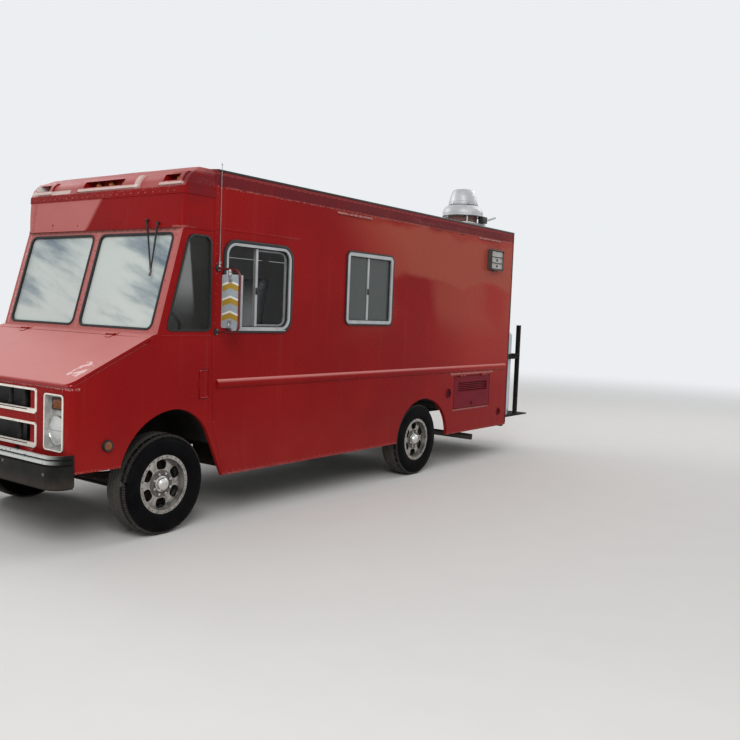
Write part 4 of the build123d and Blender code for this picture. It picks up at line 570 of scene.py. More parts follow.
def windowGlass(g):
    f = Finish("windowGlass")
    x, y, z = f.split(f.place)
    ahead = f.ramp(f.split(f.facing)[1], -0.5, -0.7)
    kitchen = y > -0.9
    # painted reflection: the windscreens' pale colour and its diagonal streaks stand in for reflected sky and
    # clouds
    cloudReflection = f.noise(2.4, 5, stretch=(3.4, 1, 0.62), turn=(0, radians(17), 0)) + 0.05 * (x > 0)
    screen = f.mix(g["screen"], g["screenPale"], f.ramp(cloudReflection, 0.36, 0.6))
    film = f.ramp(f.noise(3.5, 4), 0.4, 0.8)
    # painted reflection of the sky in the forward part of the quarter glass and low down in the driver's
    # glass
    quarter = f.ramp(y + 0.12 * z, -2.075, -2.1)
    glassSkyReflection = (quarter * f.ramp(z, 1.55, 1.9) + (y > -2.1) * (y < -1.62) * f.ramp(z, 1.95, 1.62) * 0.7).held()
    side = f.mix(g["side"], g["sidePale"], glassSkyReflection)
    colour = f.mix(f.mix(side, g["kitchen"], kitchen), screen, ahead)
    beside = (1 - kitchen) * (1 - ahead)
    alpha = (0.14 + 0.7 * ahead + 0.56 * kitchen + 0.06 * film + 0.32 * beside * glassSkyReflection).held()
    return f.set({
        "Base Color": colour, "Roughness": (0.04 + 0.05 * film).held(), "Alpha": alpha, "IOR": 1.5,
        "Specular IOR Level": 0.4})


finishes = {}


def dress(name, finish, names):
    finishes[name] = finish
    for node in names:
        mesh = nodes[node].data
        mesh.materials.clear()
        mesh.materials.append(finish)


for name, settings, names in redPaints:
    dress(name, redPaint(name, **settings), names)
for name, first, second, rough, extra, names in mixedPaints:
    dress(name, mixedFinish(name, first, second, rough, **extra), names)
for name, finish, names in [
    ("bumperPaint", bumperPaint(bumper), ["front_bumper"]),
    ("wheelMetal", wheelFinish(wheelMetal),
     ["wheel_front_left", "wheel_front_right", "wheel_rear_left", "wheel_rear_right"]),
    ("tyreRubber", tyreFinish(tyreRubber), []),
    ("lampLens", lampFinish(lamps), ["headlamps"]),
    ("mirrorPaint", mirrorFinish(mirrors, "mirrorPaint"), ["mirrors"]),
    ("mirrorBack", mirrorFinish(mirrors, "mirrorBack", plate=True), []),
    ("windowGlass", windowGlass(glass), ["window_glass", "sliding_door_glass"]),
]:
    dress(name, finish, names)
print("finishes set")

# Shapes: a piece is one bmesh, and these add parts to it

views = {    # each face of the truck: across, up and a point on it
    "left": ((0, 1, 0), (0, 0, 1), (0.988, 0, 0)),
    "right": ((0, -1, 0), (0, 0, 1), (-0.988, 0, 0)),
    "front": ((1, 0, 0), (0, 0, 1), (0, -3.3565, 0)),
    "rear": ((-1, 0, 0), (0, 0, 1), (0, 2.8165, 0)),
    "screen": ((1, 0, 0), (0, 0.27007, 0.96283), (0, -2.6342, 1.51)),
}


def seenFrom(name):
    across, up, origin = (Vector(value) for value in views[name])
    return Matrix.Translation(origin) @ Matrix((across, up, across.cross(up))).transposed().to_4x4()


leftFace, rightFace, frontFace, rearFace, screenFace = (seenFrom(name) for name in views)
bothFaces = ((leftFace, 1), (rightFace, -1))


def spot(view, u, v):
    return view @ Matrix.Translation((u, v, 0))


def turnedTo(place, direction):
    return Matrix.Translation(place) @ Vector(direction).to_track_quat("Z", "Y").to_matrix().to_4x4()


def joined(shape, part, view=Matrix()):
    mesh = bpy.data.meshes.new("part")
    part.to_mesh(mesh)
    part.free()
    mesh.transform(view)
    shape.from_mesh(mesh)
    bpy.data.meshes.remove(mesh)


def rounded(part, edges, offset, segments=2):
    bmesh.ops.bevel(part, geom=edges, offset=offset, affect="EDGES", segments=segments, profile=0.5,
                    material=-1)


def block(shape, low, high, edge=0.002, segments=2, view=Matrix()):
    size = [b - a for a, b in zip(low, high)]
    middle = [(a + b) / 2 for a, b in zip(low, high)]
    part = bmesh.new()
    bmesh.ops.create_cube(part, size=1, matrix=Matrix.Translation(middle) @ Matrix.Diagonal((*size, 1)))
    if edge:
        rounded(part, part.edges[:], edge, segments)
    joined(shape, part, view)


def rod(shape, start, end, radius, sides=16, far=None, edge=0.0, view=Matrix()):
    run = Vector(end) - Vector(start)
    part = bmesh.new()
    bmesh.ops.create_cone(part, cap_ends=True, segments=sides, radius1=radius,
                          radius2=radius if far is None else far, depth=run.length)
    if edge:
        rounded(part, [rim for rim in part.edges if abs(rim.verts[0].co.z - rim.verts[1].co.z) < 1e-6], edge)
    joined(shape, part, view @ turnedTo((Vector(start) + Vector(end)) / 2, run))


def studs(shape, places, radius, height, view=Matrix(), sides=8):
    # domed heads of rivets and bolts, half sunk
    part = bmesh.new()
    for place in places:
        at = Vector((*place, 0)) if len(place) == 2 else Vector(place)
        sized = Matrix.Diagonal((radius, radius, height, 1))
        bmesh.ops.create_uvsphere(part, u_segments=sides, v_segments=4, radius=1,
                                  matrix=Matrix.Translation(at) @ sized)
    joined(shape, part, view)


def spun(part, outline, steps, closed=False):
    # outline: (radius, height) about the Z axis
    corners = [part.verts.new((radius, 0, height)) for radius, height in outline]
    edges = [part.edges.new(pair) for pair in zip(corners, corners[1:])]
    if closed:
        edges.append(part.edges.new((corners[-1], corners[0])))
    bmesh.ops.spin(part, geom=corners + edges, cent=(0, 0, 0), axis=(0, 0, 1), angle=2 * pi, steps=steps,
                   use_merge=True)
    bmesh.ops.remove_doubles(part, verts=part.verts[:], dist=1e-5)


def turned(shape, outline, view, steps=32, closed=False):
    part = bmesh.new()
    spun(part, outline, steps, closed)
    joined(shape, part, view)


def ridge(shape, radius, top, half, deep, view):
    # a bead that runs round the axis: its peak, half its width and its depth
    turned(shape, [(radius - half, top - deep), (radius, top), (radius + half, top - deep)], view, 40, True)


def circled(radius, count, start=0.0):
    angles = [start + 2 * pi * number / count for number in range(count)]
    return [(cos(angle) * radius, sin(angle) * radius) for angle in angles]


def flat(corners, runs, segments=6):
    # one face, its corners rounded by so much along their edges
    part = bmesh.new()
    corners = [part.verts.new((u, v, 0)) for u, v in corners]
    part.faces.new(corners)
    for corner, run in zip(corners, runs if isinstance(runs, list) else [runs] * len(corners)):
        if run:
            bmesh.ops.bevel(part, geom=[corner], offset=run, affect="VERTICES", segments=segments,
                            profile=0.5, material=-1)
    return part


def thickened(part, low, high, edge=0.001):
    bmesh.ops.translate(part, verts=part.verts[:], vec=(0, 0, low))
    grown = bmesh.ops.extrude_face_region(part, geom=part.faces[:], use_keep_orig=True)["geom"]
    top = {item for item in grown if isinstance(item, bmesh.types.BMVert)}
    bmesh.ops.translate(part, verts=list(top), vec=(0, 0, high - low))
    bmesh.ops.recalc_face_normals(part, faces=part.faces[:])
    if edge:
        rims = [rim for rim in part.edges if set(rim.verts) <= top and rim.calc_face_angle(0) > 0.8]
        rounded(part, rims, edge)


def plate(shape, corners, runs, low, high, view=Matrix(), edge=0.001, segments=6):
    part = flat(corners, runs, segments)
    thickened(part, low, high, edge)
    joined(shape, part, view)


def ring(shape, corners, runs, width, low, high, view=Matrix(), edge=0.0015, segments=8):
    part = flat(corners, runs, segments)
    band = set(bmesh.ops.inset_region(part, faces=part.faces[:], thickness=width, use_even_offset=True,
                                      use_boundary=True)["faces"])
    bmesh.ops.delete(part, geom=[face for face in part.faces if face not in band], context="FACES")
    thickened(part, low, high, edge)
    joined(shape, part, view)


def oblong(u0, v0, u1, v1, grow=0.0):
    return [(u0 - grow, v0 - grow), (u1 + grow, v0 - grow), (u1 + grow, v1 + grow), (u0 - grow, v1 + grow)]


def centred(u, v, halfWide, halfHigh, grow=0.0):
    return oblong(u - halfWide, v - halfHigh, u + halfWide, v + halfHigh, grow)


def about(x, y, halfX, halfY, low, high):
    # the two corners of a block that stands over (x, y)
    return (x - halfX, y - halfY, low), (x + halfX, y + halfY, high)


def strip(shape, points, width, low, high, view=Matrix(), edge=0.001):
    for start, end in zip(points, points[1:]):
        run = Vector(end) - Vector(start)
        turn = Matrix.Rotation(atan2(run.y, run.x), 4, "Z")
        block(shape, (0, -width / 2, low), (run.length, width / 2, high), edge,
              view=view @ Matrix.Translation((*start, 0)) @ turn)


def spaced(first, last, pitch):
    count = max(1, round(abs(last - first) / pitch))
    return [first + (last - first) * i / count for i in range(count + 1)]


def bothSides(shape):
    bmesh.ops.mirror(shape, geom=shape.verts[:] + shape.edges[:] + shape.faces[:], axis="X", merge_dist=1e-6)


def piece(name, shape, finish, body="truck_body", hides=(), smooth=38):
    bmesh.ops.recalc_face_normals(shape, faces=shape.faces[:])
    mesh = bpy.data.meshes.new(name)
    shape.to_mesh(mesh)
    shape.free()
    mesh.materials.append(finishes[finish])
    mesh.shade_smooth()
    mesh.set_sharp_from_angle(angle=radians(smooth))
    made = bpy.data.objects.new(name, mesh)
    bpy.context.collection.objects.link(made)
    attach(made, body)
    if hides:
        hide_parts(*hides)
    return made

# Tyres and wheel trim

tyre = {
    "steps": 240, "notchEvery": 2, "notchTo": 0.992, "shoulder": (0.074, 0.345),
    "half": [   # (across, radius) from the middle of the tread to the bead
        (0, 0.375), (0.013, 0.3749), (0.0145, 0.367), (0.0205, 0.367), (0.022, 0.3747), (0.044, 0.3742),
        (0.0455, 0.366), (0.0515, 0.366), (0.053, 0.374), (0.074, 0.373), (0.086, 0.369), (0.093, 0.362),
        (0.0965, 0.35), (0.099, 0.338), (0.103, 0.322), (0.1045, 0.32), (0.105, 0.309), (0.1075, 0.292),
        (0.107, 0.263), (0.1055, 0.245), (0.103, 0.232), (0.097, 0.222), (0.09, 0.2185), (0.0865, 0.2175),
        (0.082, 0.2012),
    ],
}
wheelPlaces = {
    "front_left": (1, -2.5165), "front_right": (-1, -2.5165), "rear_left": (1, 0.8615),
    "rear_right": (-1, 0.8615),
}


def axleEnd(side, y):
    return turnedTo((side * 0.86, y, 0.375), (side, 0, 0))


def makeTyre(t, name, side, y):
    part = bmesh.new()
    spun(part, [(r, -u) for u, r in reversed(t["half"][1:])] + [(r, u) for u, r in t["half"]], t["steps"],
         True)
    notches = []
    for face in part.faces:
        middle = face.calc_center_median()
        turn = int(atan2(middle.y, middle.x) % (2 * pi) / (2 * pi / t["steps"]))
        across, out = t["shoulder"]
        if turn % t["notchEvery"] == 0 and abs(middle.z) > across and middle.xy.length > out:
            notches.append(face)
    sunk = bmesh.ops.extrude_face_region(part, geom=notches)["geom"]
    sunk = [item for item in sunk if isinstance(item, bmesh.types.BMVert)]
    bmesh.ops.scale(part, vec=(t["notchTo"], t["notchTo"], 1), verts=sunk)
    shape = bmesh.new()
    joined(shape, part, axleEnd(side, y))
    piece(f"tyre_{name}_tread", shape, "tyreRubber", f"wheel_{name}", [f"tyre_{name}"], 30)


wheelTrim = {
    "rimBolts": 30, "boltRing": 0.2055, "boltSeat": 0.094, "nuts": 8, "nutRing": 0.079, "nutSeat": 0.058,
    "cap": [(0, 0.102), (0.026, 0.1012), (0.038, 0.098), (0.046, 0.091), (0.0495, 0.082), (0.051, 0.079),
            (0.0535, 0.078), (0.0535, 0.068), (0.058, 0.066), (0.06, 0.0605), (0, 0.0605)],
    "well": [(0.0605, 0.0585), (0.0605, 0.0625), (0.064, 0.0625), (0.066, 0.06), (0.094, 0.059),
             (0.098, 0.0605), (0.1005, 0.0605), (0.1015, 0.057), (0.0605, 0.057)],
    "drum": [(0, 0.026), (0.112, 0.026), (0.118, 0.022), (0.152, 0.02), (0.163, 0.012), (0.166, -0.004),
             (0.166, -0.058), (0.16, -0.06), (0, -0.06)],
}


def makeWheelTrim(t, name, side, y):
    end = axleEnd(side, y)
    body = f"wheel_{name}"
    chrome = bmesh.new()
    turned(chrome, t["cap"], end, 48)
    for spoke in circled(t["nutRing"], t["nuts"], pi / t["nuts"]):
        place = Vector((*spoke, t["nutSeat"]))
        rod(chrome, place, place + Vector((0, 0, 0.016)), 0.0125, 6, 0.0105, view=end)
        studs(chrome, [place + Vector((0, 0, 0.015))], 0.0075, 0.008, end)
    piece(f"wheel_{name}_cap", chrome, "chrome", body)
    dark = bmesh.new()
    turned(dark, t["well"], end, 48, True)
    bolts = circled(t["boltRing"], t["rimBolts"], 2 * pi / t["rimBolts"])
    studs(dark, [(*spoke, t["boltSeat"]) for spoke in bolts], 0.0052, 0.0042, end)
    piece(f"wheel_{name}_bolts", dark, "dullBolt", body)
    drum = bmesh.new()
    turned(drum, t["drum"], end, 64)
    rod(drum, (0.15, 0, -0.03), (0.15, 0, -0.012), 0.006, 8, view=end)
    piece(f"wheel_{name}_drum", drum, "drumIron", body)


for name, (side, y) in wheelPlaces.items():
    makeTyre(tyre, name, side, y)
    makeWheelTrim(wheelTrim, name, side, y)
print("tyres and wheels done")

# Window rubbers and sashes

windowRubber = {
    "width": 0.017, "over": 0.005, "proud": 0.007,
    "screen": (0.038, 0.0, 0.91, 0.7426, 0.062),
    "quarter": [(-2.5665, 1.508), (-2.1265, 1.508), (-2.1415, 2.222), (-2.3715, 2.222)],
    "quarterRuns": [0.055, 0.062, 0.062, 0.072],
    "driver": (-1.9975, 1.516, -1.2405, 2.2, 0.105), "kitchen": (-0.4665, 1.59, 0.2435, 2.235, 0.042),
    "entry": (-1.8015, 1.516, -1.3215, 2.2, 0.06),
}


def makeWindowRubber(w):
    shape = bmesh.new()
    over, width = w["over"], w["width"]
    *place, radius = w["screen"]
    ring(shape, oblong(*place, over), radius, width, -0.014, w["proud"], screenFace)
    middle = Vector((sum(u for u, v in w["quarter"]) / 4, sum(v for u, v in w["quarter"]) / 4))
    grown = [middle + (Vector(corner) - middle) * 1.014 for corner in w["quarter"]]
    ring(shape, [tuple(corner) for corner in grown], w["quarterRuns"], width, -0.02, w["proud"], leftFace)
    bothSides(shape)
    # the kitchen window's narrow black ring stands in for the thin shadow round its frame; the driver's
    # window has a rubber one
    for name, width, high in (("driver", 0.027, 0.0125), ("kitchen", 0.016, 0.0125)):
        *place, radius = w[name]
        ring(shape, oblong(*place, 0.021), radius + 0.02, width, -0.002, high, leftFace)
    piece("window_rubbers_and_shadow", shape, "rubber")
    inner = bmesh.new()
    y0, z0, y1, z1, radius = w["entry"]
    # the sliding door's outer face is 48 mm inside the body's side and 8 mm inside the wall
    ring(inner, oblong(-y1, z0, -y0, z1, over), radius, width, -0.06, -0.043, rightFace)
    piece("door_window_rubber", inner, "rubber", "sliding_door")


sash = {"inset": 0.026, "middle": 0.47, "bar": 0.016, "lining": 0.007, "latch": 0.42}


def makeSashes(s, w):
    metal, dark = bmesh.new(), bmesh.new()
    for name in ("driver", "kitchen"):
        y0, z0, y1, z1, radius = w[name]
        split = y0 + (y1 - y0) * s["middle"]
        run = max(radius - s["inset"], 0.012)
        ring(dark, oblong(y0, z0, y1, z1, -s["inset"] + 0.001), run, s["lining"], -0.019, -0.001, leftFace,
             0.001)
        back = oblong(split - 0.008, z0 + s["inset"] + 0.006, y1 - s["inset"] - 0.006,
                      z1 - s["inset"] - 0.006)
        ring(metal, back, [0.008, run - 0.004, run - 0.004, 0.008], s["bar"], -0.034, -0.02, leftFace, 0.001)
        z = z0 + (z1 - z0) * s["latch"]
        block(dark, (split - 0.01, z, -0.008), (split + 0.01, z + 0.055, 0.002), 0.003, view=leftFace)
        rod(dark, (split, z + 0.02, 0), (split, z + 0.02, 0.007), 0.006, 12, edge=0.002, view=leftFace)
        block(metal, (y0 + 0.06, z0 - 0.004, 0.01), (y1 - 0.06, z0 + 0.006, 0.0145), 0.0015, view=leftFace)
        for y in (y0 + 0.16, y1 - 0.16):    # drain slots along the foot of the frame
            block(dark, (y - 0.012, z0 + 0.012, 0.009), (y + 0.012, z0 + 0.016, 0.0125), 0.0015,
                  view=leftFace)
    piece("window_sashes", metal, "whiteFrame")
    piece("window_channels", dark, "rubber")


makeWindowRubber(windowRubber)
makeSashes(sash, windowRubber)
print("window rubbers and sashes done")

# Seams, beads and rivets of the body

bodySeams = {
    "cab": [(-2.1085, 2.69), (-2.1085, 1.5), (-2.0765, 0.81), (-1.9595, 0.38)],
    "cabWidth": 0.022, "proud": 0.0028,
    "side": [((-2.095, 2.288), (-1.15, 2.288))], "crease": [((-2.6, 1.469), (-2.125, 1.469))],
    "upperBand": 2.605, "bandDepth": 0.014,
    "beads": (2.716, 2.732), "corner": (2.8, 2.8165),
}


def makeSeams(s):
    shape = bmesh.new()
    for view, sign in bothFaces:
        strip(shape, [(sign * y, z) for y, z in s["cab"]], s["cabWidth"], -0.001, s["proud"], view, 0.0012)
        strip(shape, [(sign * -2.098, s["upperBand"]), (sign * 2.798, s["upperBand"])], s["bandDepth"],
              -0.001, 0.0025, view, 0.001)
    for start, end in s["side"]:
        strip(shape, [start, end], 0.016, -0.001, 0.0022, leftFace)
    for start, end in s["crease"]:
        for view, sign in bothFaces:
            strip(shape, [(sign * start[0], start[1]), (sign * end[0], end[1])], 0.01, -0.001, 0.002, view)
    piece("seam_covers", shape, "bodyRed")
    dark = bmesh.new()
    for view, sign in bothFaces:
        low, high = s["beads"]
        front, back = sorted((sign * -2.1, sign * 2.812))
        block(dark, (front, low, -0.002), (back, high, 0.007), 0.003, view=view)
        front, back = sorted(sign * y for y in s["corner"])
        block(dark, (front, 0.4, -0.001), (back, 2.715, 0.004), 0.0015, view=view)
    block(dark, (-0.985, s["beads"][0], -0.001), (0.985, s["beads"][1], 0.006), 0.003, view=rearFace)
    piece("roof_edge_beads", dark, "blackSteel")


makeSeams(bodySeams)

rivetRows = {
    "radius": 0.0065, "height": 0.0032, "pitch": 0.078,
    "left": [((-2.07, 2.695), (2.78, 2.695)), ((-2.07, 2.632), (2.78, 2.632)), ((-1.93, 0.4), (0.38, 0.4)),
             ((1.5, 0.4), (2.78, 0.4)), ((2.772, 0.46), (2.772, 2.6)), ((-2.085, 1.56), (-2.085, 2.55)),
             ((-2.132, 1.52), (-2.132, 2.25))],
    "right": [((-2.07, 2.695), (2.78, 2.695)), ((-2.07, 2.632), (2.78, 2.632)), ((-1.19, 0.4), (0.38, 0.4)),
              ((1.5, 0.4), (2.78, 0.4)), ((2.772, 0.46), (2.772, 2.6)), ((-2.085, 1.56), (-2.085, 2.55))],
    "rear": [((-0.965, 0.54), (-0.965, 2.62)), ((0.965, 0.54), (0.965, 2.62)), ((-0.9, 2.655), (0.9, 2.655)),
             ((-0.92, 0.53), (0.92, 0.53)), ((0.845, 0.8), (0.845, 2.36))],
    "header": [((-0.9, 2.249), (0.9, 2.249))],
    "pillars": [(-0.932, 0.03, 0.72), (0.932, 0.03, 0.72), (-0.014, 0.04, 0.7), (0.014, 0.08, 0.7)],
    "flange": [-0.86, -0.772, -0.684, -0.615, -0.544, -0.455, -0.367, -0.3, -0.234, -0.17, -0.105, -0.03,
               0.041, 0.13, 0.21, 0.3, 0.38, 0.47, 0.55, 0.64, 0.72, 0.81, 0.88],
}


def makeRivets(r):
    shape = bmesh.new()
    for name, view, sign in (("left", leftFace, 1), ("right", rightFace, -1), ("rear", rearFace, 1)):
        for (u0, v0), (u1, v1) in r[name]:
            count = max(2, round(Vector((u1 - u0, v1 - v0)).length / r["pitch"]))
            row = [(sign * (u0 + (u1 - u0) * i / count),
                    v0 + (v1 - v0) * i / count) for i in range(count + 1)]
            studs(shape, row, r["radius"], r["height"], view)
    piece("body_rivets", shape, "bodyRed")
    front = bmesh.new()
    for (u0, v0), (u1, v1) in r["header"]:
        studs(front, [(u, (v0 - 1.51) * 1.0386, 0) for u in spaced(u0, u1, r["pitch"])], 0.0075, 0.0035,
              screenFace)
    for u, low, high in r["pillars"]:
        studs(front, [(u, v) for v in spaced(low, high, 0.083)], 0.0065, 0.003, screenFace)
    studs(front, [(u, -2.4215, 2.535) for u in r["flange"]], 0.007, 0.007)
    piece("front_rivets", front, "pinkPaint")


makeRivets(rivetRows)

sideStrips = {
    "pale": [(1.945, 2.466, 2.594, 0.012), (-0.647, -0.122, 2.58, 0.014)],
    "dark": [(1.083, 2.588), (1.573, 2.591)],
}


def makeSideStrips(s):
    shape = bmesh.new()
    for y0, y1, z, depth in s["pale"]:
        block(shape, (y0, z - depth / 2, -0.001), (y1, z + depth / 2, 0.009), 0.002, view=leftFace)
        block(shape, (y0, z - depth / 2 - 0.006, 0.006), (y1, z - depth / 2 + 0.002, 0.012), 0.0015,
              view=leftFace)
    piece("drip_strips", shape, "dullPink")
    dark = bmesh.new()
    for y, z in s["dark"]:
        plate(dark, centred(y, z, 0.032, 0.004), 0.0038, -0.001, 0.0012, leftFace, 0.0004)
        studs(dark, [(y - 0.045, z), (y + 0.045, z)], 0.004, 0.003, leftFace)
    piece("side_slots", dark, "darkInside")


makeSideStrips(sideStrips)
print("seams, beads and rivets done")

# Nose: headlamp rims, turn lamp frames, side markers, grille, bumper bolts

lampTrim = {
    "x": 0.831, "z": 0.836, "floor": -0.042,
    "rim": [(0.0885, -0.043), (0.0885, -0.028), (0.0915, -0.0225), (0.096, -0.0225), (0.0985, -0.027),
            (0.1, -0.043)],
    "screwRing": 0.104, "turn": (0.77, 0.975, 0.905, 1.048), "bezel": (0.725, 0.7, 0.938, 1.08),
}


def makeLampTrim(t):
    chrome, dark, lens = bmesh.new(), bmesh.new(), bmesh.new()
    centre = spot(frontFace, t["x"], t["z"])
    turned(chrome, t["rim"], centre, 64, True)
    top = t["floor"] + 0.003
    for u, v in circled(t["screwRing"], 3, pi / 4):    # slotted screws
        rod(chrome, (u, v, top - 0.004), (u, v, top), 0.0055, 12, edge=0.001, view=centre)
        block(dark, *about(u, v, 0.004, 0.0008, top - 0.001, top + 0.0006), 0.0003, 1, centre)
    u0, v0, u1, v1 = t["turn"]
    ring(dark, oblong(u0, v0, u1, v1, 0.004), 0.01, 0.007, -0.043, -0.027, frontFace)
    for u in spaced(u0 + 0.012, u1 - 0.012, 0.0105):
        block(lens, (u - 0.0032, v0 + 0.006, -0.032), (u + 0.0032, v1 - 0.006, -0.0268), 0.0012, 1, frontFace)
    studs(chrome, [(u0 + 0.008, (v0 + v1) / 2, -0.0295), (u1 - 0.008, (v0 + v1) / 2, -0.0295)], 0.0045,
          0.0035, frontFace)
    pale = bmesh.new()
    ring(pale, oblong(*t["bezel"], 0.001), 0.026, 0.0095, 0.0045, 0.0085, frontFace, 0.0025)
    for shape in (chrome, dark, lens, pale):
        bothSides(shape)
    piece("headlamp_surrounds", pale, "creamPaint")
    piece("headlamp_rims", chrome, "chrome")
    piece("turn_lamp_frames", dark, "rubber")
    piece("turn_lamp_ribs", lens, "amberLens")


makeLampTrim(lampTrim)

sideMarker = {
    "y": -3.0505, "z": 0.722,
    "cup": [(0.028, 0.012), (0.028, 0.0185), (0.03, 0.02), (0.038, 0.019), (0.0405, 0.014), (0.0415, 0.0),
            (0.0395, 0.0), (0.039, 0.012)],
    "lens": [(0, 0.023), (0.01, 0.0228), (0.019, 0.022), (0.025, 0.0205), (0.0278, 0.0185), (0.0278, 0.012),
             (0, 0.012)],
    "rings": [0.007, 0.013, 0.019],
}


def makeSideMarkers(m):
    dark, lens = bmesh.new(), bmesh.new()
    at = spot(leftFace, m["y"], m["z"])
    turned(dark, m["cup"], at, 40, True)
    turned(lens, m["lens"], at, 40)
    for radius in m["rings"]:
        top = 0.0238 - radius * radius * 3.4
        ridge(lens, radius, top, 0.0014, 0.003, at)
    bothSides(dark)
    bothSides(lens)
    piece("side_marker_cups", dark, "rubber")
    piece("side_marker_lenses", lens, "amberLens")


makeSideMarkers(sideMarker)

capLamps = {"places": [-0.815, -0.165, 0, 0.165, 0.815], "y": -2.2945, "z": 2.638, "front": -2.319}


def makeCapLamps(c):
    lens, base = bmesh.new(), bmesh.new()
    dome = [(0, 0.036), (0.01, 0.0355), (0.018, 0.033), (0.0235, 0.027), (0.0265, 0.018), (0.0268, 0.004),
            (0, 0.004)]
    cup = [(0.0265, 0.0), (0.0265, 0.009), (0.028, 0.011), (0.031, 0.01), (0.0325, 0.0)]
    for x in c["places"]:
        at = turnedTo((x, c["y"] - 0.003, c["z"]), (0, -1, 0))
        squeezed = at @ Matrix.Diagonal((1, 0.82, 1, 1))
        turned(lens, dome, squeezed, 28)
        turned(base, cup, squeezed, 28, True)
        for side in (-1, 1):
            studs(base, [(x + side * 0.044, c["y"] - 0.001, c["z"])], 0.0045, 0.0045)
    piece("roof_lamp_lenses", lens, "roofAmber")
    piece("roof_lamp_bases", base, "darkInside")


makeCapLamps(capLamps)

grilleBack = {
    "struts": [(-0.422, 0.945, 1.085), (-0.248, 0.945, 1.085), (0.0, 0.945, 1.085), (0.248, 0.945, 1.085),
               (0.422, 0.945, 1.085), (-0.37, 0.712, 0.852), (0.0, 0.712, 0.852), (0.37, 0.712, 0.852)],
    "rows": [(0.695, 0.868), (0.928, 1.1)],
}


def makeGrilleBack(g):
    shape = bmesh.new()
    for x, low, high in g["struts"]:
        block(shape, (x - 0.012, low - 0.02, -0.06), (x + 0.012, high + 0.02, -0.036), 0.004, view=frontFace)
        block(shape, (x - 0.022, low + 0.02, -0.05), (x + 0.022, low + 0.045, -0.032), 0.004, view=frontFace)
        studs(shape, [(x, low + 0.032, -0.032)], 0.008, 0.005, frontFace)
    for bottom, top in g["rows"]:
        # lips of the sheet folded inwards round each slot
        ring(shape, oblong(-0.54, bottom + 0.013, 0.54, top - 0.013), 0.012, 0.004, -0.052, -0.019, frontFace)
        plate(shape, oblong(-0.53, bottom + 0.0185, 0.53, bottom + 0.0255), 0.003, 0.0005, 0.0026,
              frontFace, 0.0005)
    piece("grille_struts", shape, "darkInside")
    bolts = bmesh.new()
    for bottom, top in g["rows"]:
        studs(bolts, [(side * x, z, 0.0065) for side in (-1, 1) for x in (0.12, 0.36, 0.628)
                      for z in (bottom + 0.0075, top - 0.0075)], 0.0042, 0.0028, frontFace)
    piece("grille_screws", bolts, "dullBolt")


makeGrilleBack(grilleBack)

bumperFittings = {
    "bolts": [(-0.887, 0.564), (0.887, 0.564), (-0.41, 0.596), (0.41, 0.596)], "front": 0.11,
    "bracketAt": 0.402,
}


def makeBumperFittings(b):
    bolts, dark = bmesh.new(), bmesh.new()
    for u, v in b["bolts"]:
        rod(bolts, (u, v, b["front"] - 0.001), (u, v, b["front"] + 0.0018), 0.0125, 20, edge=0.0008,
            view=frontFace)
        studs(bolts, [(u, v, b["front"] + 0.0015)], 0.0085, 0.0055, frontFace, 10)
    piece("bumper_bolts", bolts, "dullBolt")
    for side in (-1, 1):
        x = side * b["bracketAt"]
        block(dark, (x - 0.034, 0.476, 0.024), (x + 0.034, 0.53, 0.084), 0.004, view=frontFace)
        for z in (0.488, 0.518):
            rod(dark, (x - 0.042, z, 0.05), (x + 0.042, z, 0.05), 0.009, 6, view=frontFace)
    piece("bumper_brackets", dark, "castSteel")


makeBumperFittings(bumperFittings)
print("nose done")

# Mirrors, antenna and wiper

mirrorParts = {
    "middle": 1.129, "half": 0.093, "bottom": 1.536, "top": 1.94, "back": -2.0405, "edge": 0.01,
    "round": (1.129, 2.046, 0.062), "strip": (1.2215, 1.2345, -2.0665, -2.045), "plate": (-1.2866, -1.2848),
}


